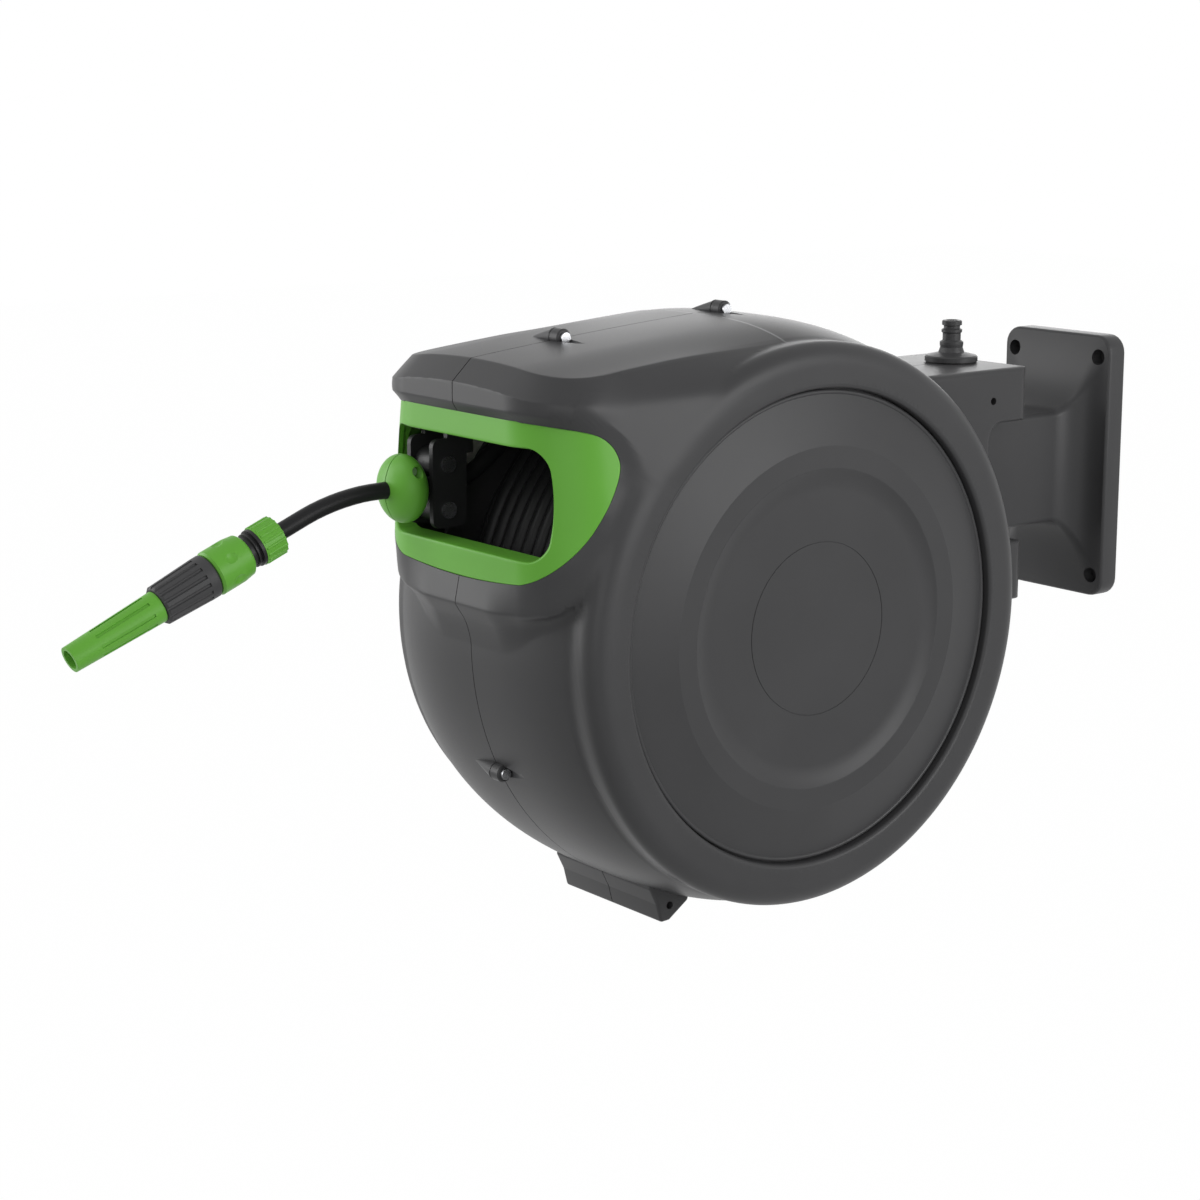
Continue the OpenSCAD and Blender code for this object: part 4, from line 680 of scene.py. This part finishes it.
def edge_tilts(turns, side):
    """Tilt of the shoulder's edge at each turn, of the crown's end where there is no shoulder."""
    at = np.radians(np.arange(*EDGE_TURNS))
    low = np.zeros_like(at)
    high = np.full_like(at, math.radians(EDGE_TILT_MOST))
    for _ in range(EDGE_TRIES):
        middle = (low + high)/2
        wall = on_wall(at, middle, side)
        low = np.where(wall, low, middle)
        high = np.where(wall, middle, high)
    knots = np.concatenate([[NOSE_TURNS[0]], np.degrees(at), [NOSE_TURNS[1], NOSE_TURNS[0] + 360]])
    return np.interp(turns, knots, np.concatenate([[PLAIN_TILT], low, [PLAIN_TILT]*2]))


def case_solid(name, side):
    """One half of the casing as a solid, side 1 for the right."""
    turns = np.concatenate([np.arange(start, end, step) for start, end, step in TURN_STEPS])
    tilts = skin_tilts(side)
    edge = edge_tilts(turns, side)[:, None]
    last = tilts[-1]
    outer = edge + (tilts - PLAIN_TILT)*(last - edge)/(last - PLAIN_TILT)
    warped = np.where(tilts <= PLAIN_TILT, tilts*edge/PLAIN_TILT, outer)
    return closed_rings(name, skin_points(turns, warped, RAY_R, skin_gap, side))


def case_cavity(name, side):
    """The hollow of one half, past the seam."""
    def gap(p):
        return np.maximum(skin_gap(p) + SKIN, np.abs(p[..., 0]) - CAVITY_X)
    turns = np.arange(*CAVITY_TURNS)
    tilts = np.radians(np.concatenate([np.arange(*steps) for steps in CAVITY_TILTS]))
    points = skin_points(turns, tilts, CAVITY_R, gap, side)
    past_seam = points[:, :1] - (PAST_SEAM*side, 0, 0)
    return closed_rings(name, np.concatenate([past_seam, points], 1))


def x_solid(name, profile, y, z, side=1, steps=48):
    """A closed profile of (radius, x) turned about an axis along X at (y, z)."""
    def place(p):
        return p*(side, 1, 1) + (0, y, z)
    return turned(name, profile if side > 0 else profile[::-1], steps, place)


# Green bezel round the mouth
MOUTH_HW = 95.8
MOUTH_BOW = 5
MOUTH_Z = (70, 149)
MOUTH_R = 15
MOUTH_BACK = -212
MOUTH_EDGE = 1.2
BEZEL_SINK = 0.1
BEZEL_FIT = 0.15
BEZEL_T = 4
BEZEL_PLAN_Y = -150
FRONT_EDGE = 0.4
FOOT_Z = 48.8
FOOT_SAG = 0.0008
FOOT_HW = 70
FOOT_POINTS = 15
MOUTH_ARC_STEPS = 10
MOUTH_SIDE_STEPS = 8
BEZEL_FAR = 200
SWING_MOST = 86
SWING_POINTS = 400
FACE_POINTS = 241
PLUG_OUT = 12
PLUG_IN = 25
PLUG_SHARES = np.linspace(0.02, 1, 12)

# Rings of the bezel: its rim as (sunk, inset), its face from the outline in, its lip and its liner
BEZEL_RIM = [(BEZEL_T, 0), (2, 0), (0.35, 0), (0.1, 0.1), (0, 0.35)]
FACE_SHARES = np.linspace(0.04, 1, 15)
LIP_TURNS = (30, 60, 90)
LINER_T = 2.5
UNDER_SHARE = 0.97


def bezel_gap(p):
    x, y, z = folded(p)
    return nose_wall(x, y, z, bezel_depth(y, z) + BEZEL_SINK, nose_top(x, y))


def on_bezel(swing, z, sunk=0):
    """The bezel's face where a level ray from the nose's middle meets it, swung from the front to +X."""
    def gap(p):
        return bezel_gap(p) + sunk
    way = np.stack([np.sin(swing), -np.cos(swing), np.zeros_like(swing)], -1)
    start = np.stack([np.zeros_like(z), np.full_like(z, BEZEL_PLAN_Y), z], -1)
    return cast(gap, start, way, BEZEL_FAR)


def loop_radius(points, centre, angles):
    """Distances of a loop from a centre at given angles."""
    d = np.asarray(points) - centre
    a = np.arctan2(d[:, 1], d[:, 0])
    order = np.argsort(a)
    return np.interp(angles, a[order], np.hypot(d[order, 0], d[order, 1]))


def dense(points, step=0.5):
    out = []
    for a, b in zip(points[:-1], points[1:]):
        n = max(1, int(np.hypot(*(np.subtract(b, a)))/step))
        out += [np.add(a, np.subtract(b, a)*k/n) for k in range(n)]
    return np.array(out + [points[-1]])


def half_mouth(grow):
    """The right half of the mouth's outline in (x, z), from its foot to its top."""
    hw = MOUTH_HW + grow
    low = MOUTH_Z[0] - grow
    high = MOUTH_Z[1] + grow
    r = MOUTH_R + grow
    middle = (low + high)/2
    foot = arc((hw - r, low + r), r, -90, 0, MOUTH_ARC_STEPS)
    side = [(hw, z) for z in np.linspace(low + r, high - r, MOUTH_SIDE_STEPS + 1)[1:-1]]
    head = arc((hw - r, high - r), r, 0, 90, MOUTH_ARC_STEPS)
    loop = [(0, low)] + foot + side + head + [(0, high)]
    return [(x - MOUTH_BOW*((z - middle)/(high - middle))**2*(x/hw)**2, z) for x, z in loop]


class BezelFace:
    """The bezel's face laid out flat: its run round the nose's corner and the two loops that bound it."""
    middle = (MOUTH_Z[0] + MOUTH_Z[1])/2
    angles = np.radians(np.linspace(-90, 90, FACE_POINTS))

    def __init__(self):
        self.swings = np.radians(np.linspace(0, SWING_MOST, SWING_POINTS))
        plan = on_bezel(self.swings, np.full_like(self.swings, self.middle))
        self.run = np.concatenate([[0], np.cumsum(np.linalg.norm(np.diff(plan, axis=0), axis=1))])
        front_y = plan[0, 1] + FRONT_EDGE
        flank = wing_curve[wing_curve[:, 0] > front_y]
        high_z = WING[-1][1]
        outer = [(x, FOOT_Z + FOOT_SAG*x**2) for x in np.linspace(0, FOOT_HW, FOOT_POINTS)]
        outer += list(zip(np.interp(flank[:, 0], plan[:, 1], self.run), flank[:, 1]))
        outer += [(np.interp(front_y, plan[:, 1], self.run), high_z), (0, high_z)]
        mouth = np.array(half_mouth(MOUTH_EDGE))
        inner = np.stack([np.interp(mouth[:, 0], plan[:, 0], self.run), mouth[:, 1]], 1)
        centre = (0, self.middle)
        self.reach_out = loop_radius(dense(outer), centre, self.angles)
        self.reach_in = loop_radius(dense(inner), centre, self.angles)

    def ring(self, reach, sunk):
        """Points of the right half at a reach from the mouth's middle, sunk below the face."""
        across = np.cos(self.angles)*reach
        height = self.middle + np.sin(self.angles)*reach
        return on_bezel(np.interp(across, self.run, self.swings), height, sunk)

    def face(self, share, sunk, shrink=0):
        """The ring at a share of the way from the outline to the mouth."""
        outline = self.reach_out - BEZEL_FIT - shrink
        return self.ring(outline*(1 - share) + self.reach_in*share, sunk)


bezel_face = BezelFace()


def both_halves(rings):
    """Rings of the right half, foot to top, closed by their mirror images."""
    half = np.array(rings)
    return np.concatenate([half, half[:, -2:0:-1]*(-1, 1, 1)], 1)


def mouth_plug():
    """A solid that cuts the bezel's outline out of the casing."""
    reaches = [bezel_face.reach_out*share for share in PLUG_SHARES]
    rings = [bezel_face.ring(reach, -PLUG_OUT) for reach in reaches]
    rings += [bezel_face.ring(reach, PLUG_IN) for reach in reaches[::-1]]
    return stacked("plug", both_halves(rings))


def at_depth(ring, y, scale=1):
    """A ring at other depths, scaled about the mouth's middle."""
    x = ring[:, 0]*scale
    z = bezel_face.middle + (ring[:, 2] - bezel_face.middle)*scale
    return np.stack([x, np.broadcast_to(y, len(ring)), z], 1)


def mouth_rings(edge):
    """Rings from the face's inner edge round the lip, through the mouth and out over its liner."""
    middle = bezel_face.middle
    edge_reach = np.hypot(edge[:, 0], edge[:, 2] - middle)
    angles = np.arctan2(edge[:, 2] - middle, edge[:, 0])
    mouth_reach = loop_radius(dense(half_mouth(0)), (0, middle), angles)
    rings = []
    for turn in np.radians(LIP_TURNS):
        scale = 1 + (mouth_reach/edge_reach - 1)*math.sin(turn)
        rings.append(at_depth(edge, edge[:, 1] + MOUTH_EDGE*(1 - math.cos(turn)), scale))
    mouth = rings[-1]
    rings.append(at_depth(mouth, (mouth[:, 1] + MOUTH_BACK)/2))
    rings.append(at_depth(mouth, MOUTH_BACK))
    rings.append(at_depth(mouth, MOUTH_BACK, 1 + LINER_T/edge_reach))
    return rings


def add_bezel():
    rings = [bezel_face.face(0, sunk, inset) for sunk, inset in BEZEL_RIM]
    rings += [bezel_face.face(share, 0) for share in FACE_SHARES]
    rings += mouth_rings(rings[-1])
    rings.append(bezel_face.face(UNDER_SHARE, BEZEL_T))
    points = both_halves(rings)
    faces = grid_faces(*points.shape[:2], wrap_rows=True, wrap_cols=True)
    bezel = mesh_object("mouth_bezel_face", points.reshape(-1, 3), faces)
    settle(bezel, "reel_case", "green_plastic", "mouth_bezel")


# Clevis, foot, and bosses on the seam
CLEVIS_HW = 59
CLEVIS_Y = (120, 293)
CLEVIS_Z = (-26, 166)
CLEVIS_R = 9
CLEVIS_EDGE = 5
CLEVIS_PLAN_R = 15
PLAN_EDGE = 1
PLAN_PAST = 20
SLOT_Z = (23.4, 121.6)
CHEEK_Y = 247
POCKET_HW = 42
POCKET_Y = 229
LUG_FILLET = 14
LUG_HOLE = (248.5, 140.5)
FOOT = [(-103, -198.2), (-96.5, -211), (-92.5, -225.9), (-84.1, -225.5), (-66, -213), (-60.2, -189.6),
        (-100.4, -178.4)]
FOOT_R = 3
FOOT_EDGE = 2.5
FOOT_HOLE = (-84.5, -213.4)
HOLE_R = 3
HOLE_L = 8
HOLE_PAST = 2
BOSSES = [(-145.4, 214.1), (6.9, 225.2), (-201.1, -101.7), (112.6, -195.1)]
BOSS_R = 6.5
BOSS_L = 10
BOSS_EDGE = 1
TROUGH_L = 40
TROUGH_INSET = 1.2
TROUGH_TIP_R = 0.4

# Fairings beside the left half's bosses
FAIRING_L = 34
FAIRING_STUB = 2.5
FAIRING_SINK = 4.5
FAIRING_FIT = 0.1
FAIRING_END = 0.97
FAIRING_POWER = 0.85
FAIRING_RINGS = 20
FAIRING_TURN = 7.5

# Recess of a side cover: the angles of its soft edge, and the sides of wide round solids
RECESS_ANGLES = np.linspace(0.3, math.pi/2, 4)
RECESS_PAST = 6
WIDE_SIDES = 240


def clevis_solid(side):
    """The rear block with its two lugs, rounded at every edge."""
    front, back = CLEVIS_Y
    low, high = CLEVIS_Z
    outline = [(front, low), (back, low), (back, SLOT_Z[0]), (CHEEK_Y, SLOT_Z[0]),
               (CHEEK_Y, SLOT_Z[1]), (back, SLOT_Z[1]), (back, high), (front, high)]
    radii = [CLEVIS_R]*3 + [LUG_FILLET]*2 + [CLEVIS_R]*3
    block = soft_prism("clevis", outline, -CLEVIS_HW, CLEVIS_HW, radii, CLEVIS_EDGE)
    pocket = slab((POCKET_Y, SLOT_Z[0]), (back + PAST, SLOT_Z[1]), -POCKET_HW, POCKET_HW)
    combine(block, "DIFFERENCE", pocket)
    plan = rectangle((-CLEVIS_HW, front - PLAN_PAST), (CLEVIS_HW, back))
    column = soft_prism("plan", plan, low - END_PAST, high + END_PAST, CLEVIS_PLAN_R, PLAN_EDGE, axis=2)
    combine(block, "INTERSECT", column)
    return one_half(block, (front - PAST, low - PAST), (back + PAST, high + PAST), side)


def one_half(solid, low, high, side):
    """The part of a solid on one side of the seam."""
    return combine(solid, "INTERSECT", slab(low, high, side*SEAM_GAP, side*(CLEVIS_HW + PAST)))


def foot_solid(side):
    bar = soft_prism("foot", FOOT, -CLEVIS_HW, CLEVIS_HW, FOOT_R, FOOT_EDGE)
    return one_half(bar, np.array(FOOT).min(0) - PAST, np.array(FOOT).max(0) + PAST, side)


def boss_solids(side):
    """Short bosses round the screws, on the left only the stubs of the fairings."""
    length = BOSS_L if side > 0 else FAIRING_STUB
    profile = [(ON_AXIS, SEAM_GAP), (BOSS_R, SEAM_GAP), (BOSS_R, length - BOSS_EDGE),
               (BOSS_R - BOSS_EDGE, length), (ON_AXIS, length)]
    return [x_solid("boss", profile, y, z, side) for y, z in BOSSES]


def fairing_solid(y, z):
    """The left half's fairing beside a boss: a teardrop that sinks into the skin."""
    turn = math.atan2(z, y)
    out = np.array((0, math.cos(turn), math.sin(turn)))
    across = np.array((0, -math.sin(turn), math.cos(turn)))
    turns = np.radians(np.arange(0, 360, FAIRING_TURN))[:, None]
    ways = np.cos(turns)*out + np.sin(turns)*across
    rings = []
    for t in np.linspace(0, FAIRING_END, FAIRING_RINGS):
        middle = np.array((-SEAM_GAP - FAIRING_FIT - FAIRING_L*t, y, z)) - FAIRING_SINK*t*out
        rings.append(middle + BOSS_R*(1 - t)**FAIRING_POWER*ways)
    return stacked("fairing", rings)


def recess_solid(side):
    """The round recess of a side cover, with a soft inner edge to the rim."""
    edge = RIM_IN_R - RECESS_R
    profile = [(ON_AXIS, RECESS_X), (RECESS_R, RECESS_X), (RECESS_R, RIM_X - edge)]
    profile += [(RECESS_R + edge*(1 - math.cos(a)), RIM_X - edge + edge*math.sin(a))
                for a in RECESS_ANGLES]
    profile += [(RIM_IN_R, RIM_X + RECESS_PAST), (ON_AXIS, RIM_X + RECESS_PAST)]
    return x_solid("recess", profile, 0, 0, side, WIDE_SIDES)


def add_case(side):
    name = "right_case" if side > 0 else "left_case"
    shell = case_solid(name + "_shell", side)
    fairings = [fairing_solid(y, z) for y, z in BOSSES] if side < 0 else []
    combine(shell, "UNION", clevis_solid(side), foot_solid(side), *boss_solids(side), *fairings)
    cuts = [case_cavity("cavity", side), recess_solid(side), mouth_plug()]
    hole = plug_profile(HOLE_R, CLEVIS_HW - HOLE_L, HOLE_R, CLEVIS_HW + HOLE_PAST)
    cuts += [x_solid("hole", hole, y, z, side) for y, z in (LUG_HOLE, FOOT_HOLE)]
    if side > 0:
        trough = plug_profile(BOSS_R - TROUGH_INSET, BOSS_L, TROUGH_TIP_R, BOSS_L + TROUGH_L)
        cuts += [x_solid("trough", trough, y, z, side) for y, z in BOSSES]
    combine(shell, "DIFFERENCE", *cuts)
    settle(shell, "reel_case", "case_plastic", name)


# Side covers
COVER_R = 176.3
COVER_SHARP = 9
COVER_FACE = 130
DISH_X = 126
DISH_R = 103
RING_R = (119.4, 136)
FALL_START = 0.2
FALL_POINTS = 14
LINE_R = 64.8

# Sections of a cover: bead as (inset, x), ring's soft edge, fine line as (radius, x) from its place, back
COVER_BEAD = [(0, 116), (0, 122.2), (0.3, 122.9), (1.1, 123.4), (2, 123.5), (2.8, 123.2), (3.4, 122.6)]
RING_SOFT = (0.5, -0.14)
RING_INSET = 0.4
LINE_SECTION = [(0.4, 0), (0.25, -0.4), (-0.25, -0.4), (-0.4, 0)]
COVER_BACK = [(ON_AXIS, 124), (120, 124), (170, 116)]


def cover_profile():
    """Half section of a side cover: edge, cone, flat ring, dish with a fine round line, and the back."""
    edge = [(COVER_R - inset, x) for inset, x in COVER_BEAD]
    ring = [(RING_R[1] + RING_SOFT[0], COVER_FACE + RING_SOFT[1]), (RING_R[1], COVER_FACE),
            (RING_R[0] + RING_INSET, COVER_FACE)]
    fall = [(r, DISH_X + (COVER_FACE - DISH_X)*((r - DISH_R)/(RING_R[0] - DISH_R))**2)
            for r in np.linspace(RING_R[0] - FALL_START, DISH_R, FALL_POINTS)]
    line = [(LINE_R + r, DISH_X + x) for r, x in LINE_SECTION]
    return edge + ring + fall + line + [(ON_AXIS, DISH_X)] + COVER_BACK


def add_covers():
    for name, side in (("right_side_cover", 1), ("left_side_cover", -1)):
        cover = x_solid(name + "_disc", cover_profile(), 0, 0, side, WIDE_SIDES)
        shade(cover, COVER_SHARP)
        settle(cover, "reel_case", "cover_plastic", name)


# Wall bracket: arm, flare with round ridges, plate
PIVOT_Y = 259
PIVOT_BORE = 15.5
ARM = (28, 46.8)
ARM_R = 5
ARM_SIDES = 72
BORE_SIDES = 60
PLATE = (59, 110.5)
PLATE_T = 20
PLATE_R = 15
PLATE_EDGE = 3
FLARE_L = 30
FLARE_RIM = 2
FLARE_RINGS = 19
ARM_RUNS = (20, 4)
BOLT = (47, 92.5)
BOLT_R = 4
BOLT_SEAT_R = 6.5
BOLT_SEAT_T = 9
BOLT_CUT_L = 60
BACK_DEPTH = 11
BACK_RIM = 6
BACK_RIB = 2
BACK_BOSS_R = 10
BACK_R = 4
BACK_EDGE = 1
BACK_PAST = 2


def level_box(half, middle=(0, DROP)):
    """A rectangle in (x, z), counter-clockwise seen from the front."""
    low = (middle[0] - half[0], middle[1] - half[1])
    return rectangle(low, (middle[0] + half[0], middle[1] + half[1]))


def flare_solid():
    """The arm and its flare to the plate, as rings with round corners."""
    rim = np.subtract(PLATE, FLARE_RIM)
    start = REACH - PLATE_T - FLARE_L
    stops = [(PIVOT_Y, 1)] + [(start - run, 1) for run in ARM_RUNS]
    stops += [(start + FLARE_L*math.sin(a), math.cos(a)) for a in np.linspace(0, math.pi/2, FLARE_RINGS)]
    stops.append((REACH - PLATE_T + PAST, 0))
    rings = []
    for y, share in stops:
        half = rim - (rim - ARM)*share
        corner = PLATE_R - FLARE_RIM - (PLATE_R - FLARE_RIM - ARM_R)*share
        rings.append(np.insert(filleted(level_box(half), corner)[0], 1, y, axis=1))
    return stacked("flare", rings)


def back_pockets():
    """Hollows of the plate's back between its ribs and screw bosses."""
    heights = [-PLATE[1] + BACK_RIM, -ARM[1], 0, ARM[1], PLATE[1] - BACK_RIM]
    pockets = []
    for side in (1, -1):
        for low, high in zip(heights[:-1], heights[1:]):
            half = ((PLATE[0] - BACK_RIM - BACK_RIB)/2, (high - low)/2 - BACK_RIB)
            middle = (side*(PLATE[0] - BACK_RIM + BACK_RIB)/2, DROP + (low + high)/2)
            box = soft_prism("pocket", level_box(half, middle), REACH - BACK_DEPTH, REACH + BACK_PAST,
                             BACK_R, BACK_EDGE, axis=1)
            bosses = [rod("boss", 1, (side*BOLT[0], DROP + z), BACK_BOSS_R, REACH - PLATE_T, REACH + END_PAST)
                      for z in (BOLT[1], -BOLT[1])]
            pockets.append(combine(box, "DIFFERENCE", *bosses))
    return pockets


def add_bracket():
    bracket = flare_solid()
    plate = soft_prism("plate", level_box(PLATE), REACH - PLATE_T, REACH, PLATE_R, PLATE_EDGE, axis=1)
    pivot = (0, PIVOT_Y)
    low = DROP - ARM[1]
    high = DROP + ARM[1]
    combine(bracket, "UNION", plate, rod("rod", 2, pivot, ARM[0], low, high, ARM_SIDES))
    cuts = back_pockets()
    for x in (BOLT[0], -BOLT[0]):
        for z in (DROP + BOLT[1], DROP - BOLT[1]):
            cuts.append(rod("bolt", 1, (x, z), BOLT_R, REACH - BOLT_CUT_L, REACH + BACK_PAST))
            cuts.append(rod("seat", 1, (x, z), BOLT_SEAT_R, REACH - BOLT_CUT_L, REACH - BOLT_SEAT_T))
    cuts.append(rod("bore", 2, pivot, PIVOT_BORE, low - BACK_PAST, high + BACK_PAST, BORE_SIDES))
    combine(bracket, "DIFFERENCE", *cuts)
    settle(bracket, "wall_bracket", "case_plastic", "wall_bracket")


# Wound hose on the drum and its lead to the stopper
WIND_R = 178.19
WIND_PITCH = 12.7
WIND_TURNS = 11
LEAD_BEND_Y = -200
LEAD_BEND_R = 50
LEAD_R = 191.2
HOSE_Z = 104
STOPPER_Y = -237.7
TURN_POINTS = 60
UNDER_TURNS = 1.5
LAYER_STEP = 1.72
WOUND_SIDES = 18
UNDER_SIDES = 14
LEAD_SIDES = 24
LEAD_STRAIGHT = 20
LEAD_BEND_POINTS = 12
LEAD_SHARES = (0.3, 0.6, 1)
SLOPE_MOST = 60
SLOPE_TRIES = 40


def lead_slope():
    """Slope at which the bent lead is a tangent of its circle round the drum."""
    low = 0.0
    high = math.radians(SLOPE_MOST)
    for _ in range(SLOPE_TRIES):
        a = (low + high)/2
        y = LEAD_BEND_Y + LEAD_BEND_R*math.sin(a)
        z = HOSE_Z + LEAD_BEND_R*(1 - math.cos(a))
        if -y*math.sin(a) + z*math.cos(a) < LEAD_R:
            low = a
        else:
            high = a
    return low


def coil(first_x, radius, start, count):
    """Points of a helix round the drum from a start angle, one pitch a turn."""
    i = np.arange(count)
    turns = start - 2*math.pi*i/TURN_POINTS
    return np.stack([first_x + WIND_PITCH*i/TURN_POINTS, radius*np.cos(turns), radius*np.sin(turns)], 1)


def add_wound_hose(slope):
    """The outer layer, and one layer under it that shows between its turns."""
    start = math.pi/2 + slope
    outer = coil(GUIDE_X, WIND_R, start, WIND_TURNS*TURN_POINTS + 1)
    settle(sweep("wound_hose", outer, HOSE_R, WOUND_SIDES), "drum", "hose_rubber", "hose_winding")
    under = coil(GUIDE_X - UNDER_TURNS*WIND_PITCH, WIND_R - LAYER_STEP*HOSE_R, start,
                 int((WIND_TURNS + UNDER_TURNS)*TURN_POINTS))
    settle(sweep("under_hose", under, HOSE_R, UNDER_SIDES), "drum", "hose_rubber", "hose_core")


def add_lead(slope):
    """The hose from the stopper through a bend to the drum."""
    lead = [(GUIDE_X, STOPPER_Y, HOSE_Z), (GUIDE_X, LEAD_BEND_Y - LEAD_STRAIGHT, HOSE_Z)]
    lead += [(GUIDE_X, LEAD_BEND_Y + LEAD_BEND_R*math.sin(a), HOSE_Z + LEAD_BEND_R*(1 - math.cos(a)))
             for a in np.linspace(0, slope, LEAD_BEND_POINTS)]
    end = np.array(lead[-1])
    way = np.array((0, math.cos(slope), math.sin(slope)))
    run = -np.dot(end, way)
    lead += [tuple(end + run*share*way) for share in LEAD_SHARES]
    settle(sweep("lead_hose", lead, HOSE_R, LEAD_SIDES), "hose_guide", "hose_rubber", "hose_lead")


# Stopper ball in two halves
STOPPER_R = 25.5
STOPPER_HL = 15.4
STOPPER_BORE = 6.4
STOPPER_SCREW_Z = 14
STOPPER_SEAM = 0.4
STOPPER_ROOM = 30
STOPPER_POINTS = 45
STOPPER_SIDES = 96
WELL_R = 4.2
WELL_X = 12
WELL_SIDES = 40


def stopper_ball(name):
    """The whole ball with the hose's bore along Y."""
    def place(p):
        return np.stack([p[:, 1] + GUIDE_X, p[:, 0] + STOPPER_Y, p[:, 2] + HOSE_Z], 1)
    ends = math.acos(STOPPER_BORE/STOPPER_R)
    angles = np.linspace(-ends, ends, STOPPER_POINTS)
    profile = [(STOPPER_R*math.cos(a), STOPPER_HL*math.sin(a)) for a in angles]
    return turned(name, profile, STOPPER_SIDES, place)


def stopper_well(side):
    """The well over a half's screw."""
    def place(p):
        return p*(side, 1, 1) + (GUIDE_X, STOPPER_Y, HOSE_Z + side*STOPPER_SCREW_Z)
    return turned("well", plug_profile(WELL_R, WELL_X, WELL_R, STOPPER_R), WELL_SIDES, place)


def add_stopper(side):
    name = "stopper_right" if side > 0 else "stopper_left"
    ball = stopper_ball(name + "_shell")
    middle = np.array((STOPPER_Y, HOSE_Z))
    half = slab(middle - STOPPER_ROOM, middle + STOPPER_ROOM,
                GUIDE_X + side*STOPPER_SEAM, GUIDE_X + side*STOPPER_ROOM)
    combine(ball, "INTERSECT", half)
    combine(ball, "DIFFERENCE", stopper_well(side))
    settle(ball, "hose_guide", "green_plastic", name)


# Floor, backdrop and light: lamps by their turn, lift and power
FLOOR_Z = -1.3
FLOOR_HALF = 14
FLOOR_TONE = (0.5, 0.5, 0.5, 1)
FLOOR_ROUGHNESS = 0.9
PAPER_SHARE = 0.995
WHITE = (1, 1, 1, 1)
WORLD_LEVEL = 0.32
LAMP_AIM = (0, -0.4, -0.05)
LAMP_REACH = 2.8
LAMP_SIZE = 1.6
LAMPS = {"left_lamp": (-50, 10, 36), "high_lamp": (-26, 42, 20), "right_lamp": (110, 14, 48),
         "rear_lamp": (-140, 10, 14), "front_lamp": (40, 12, 12)}


def paper_white(name):
    """A pale floor that the camera sees as white paper, with a trace of the object's shadow."""
    material = bpy.data.materials.new(name)
    material.use_nodes = True
    nodes = material.node_tree.nodes
    link = material.node_tree.links.new
    shader = nodes["Principled BSDF"]
    shader.inputs["Base Color"].default_value = FLOOR_TONE
    shader.inputs["Roughness"].default_value = FLOOR_ROUGHNESS
    glow = nodes.new("ShaderNodeEmission")
    mix = nodes.new("ShaderNodeMixShader")
    path = nodes.new("ShaderNodeLightPath")
    seen = seen_ray(nodes, link, path)
    share = nodes.new("ShaderNodeMath")
    share.operation = "MULTIPLY"
    share.inputs[1].default_value = PAPER_SHARE
    link(seen, share.inputs[0])
    link(share.outputs["Value"], mix.inputs["Fac"])
    link(shader.outputs["BSDF"], mix.inputs[1])
    link(glow.outputs["Emission"], mix.inputs[2])
    link(mix.outputs["Shader"], nodes["Material Output"].inputs["Surface"])
    return material


def seen_ray(nodes, link, path):
    """1 for rays that the camera, a gloss or a glass sends."""
    value = path.outputs["Is Camera Ray"]
    for kind in ("Is Glossy Ray", "Is Transmission Ray"):
        most = nodes.new("ShaderNodeMath")
        most.operation = "MAXIMUM"
        link(value, most.inputs[0])
        link(path.outputs[kind], most.inputs[1])
        value = most.outputs["Value"]
    return value


def add_floor():
    mesh = bpy.data.meshes.new("floor")
    corners = rectangle((-FLOOR_HALF, -FLOOR_HALF), (FLOOR_HALF, FLOOR_HALF))
    mesh.from_pydata([(x, y, FLOOR_Z) for x, y in corners], [], [(0, 1, 2, 3)])
    floor = bpy.data.objects.new("floor", mesh)
    bpy.context.scene.collection.objects.link(floor)
    mesh.materials.append(paper_white("floor"))


def add_world():
    """White where it is seen, dimmer as a light."""
    world = bpy.data.worlds.new("studio")
    bpy.context.scene.world = world
    world.use_nodes = True
    nodes = world.node_tree.nodes
    link = world.node_tree.links.new
    back = nodes["Background"]
    seen = seen_ray(nodes, link, nodes.new("ShaderNodeLightPath"))
    level = nodes.new("ShaderNodeMapRange")
    level.inputs["To Min"].default_value = WORLD_LEVEL
    level.inputs["To Max"].default_value = 1
    link(seen, level.inputs["Value"])
    back.inputs["Color"].default_value = WHITE
    link(level.outputs["Result"], back.inputs["Strength"])


def add_lamps():
    for name, (turn, lift, power) in LAMPS.items():
        turn = math.radians(turn)
        lift = math.radians(lift)
        way = Vector((math.sin(turn)*math.cos(lift), -math.cos(turn)*math.cos(lift), math.sin(lift)))
        data = bpy.data.lights.new(name, "AREA")
        data.size = LAMP_SIZE
        data.energy = power
        lamp = bpy.data.objects.new(name, data)
        lamp.location = Vector(LAMP_AIM) + LAMP_REACH*way
        lamp.rotation_euler = (-way).to_track_quat("-Z", "Y").to_euler()
        bpy.context.scene.collection.objects.link(lamp)


def add_stage():
    add_floor()
    add_world()
    add_lamps()
    bpy.context.scene.view_settings.view_transform = "Standard"


def dress_nodes():
    for slot, nodes in NODE_SLOTS.items():
        for node in nodes:
            dress(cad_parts[node], slot)


add_camera()
add_free_hose()
dress_nodes()
for half_side in (1, -1):
    add_case(half_side)
add_bezel()
add_covers()
add_bracket()
hose_slope = lead_slope()
add_wound_hose(hose_slope)
add_lead(hose_slope)
for stopper_side in (1, -1):
    add_stopper(stopper_side)
add_stage()
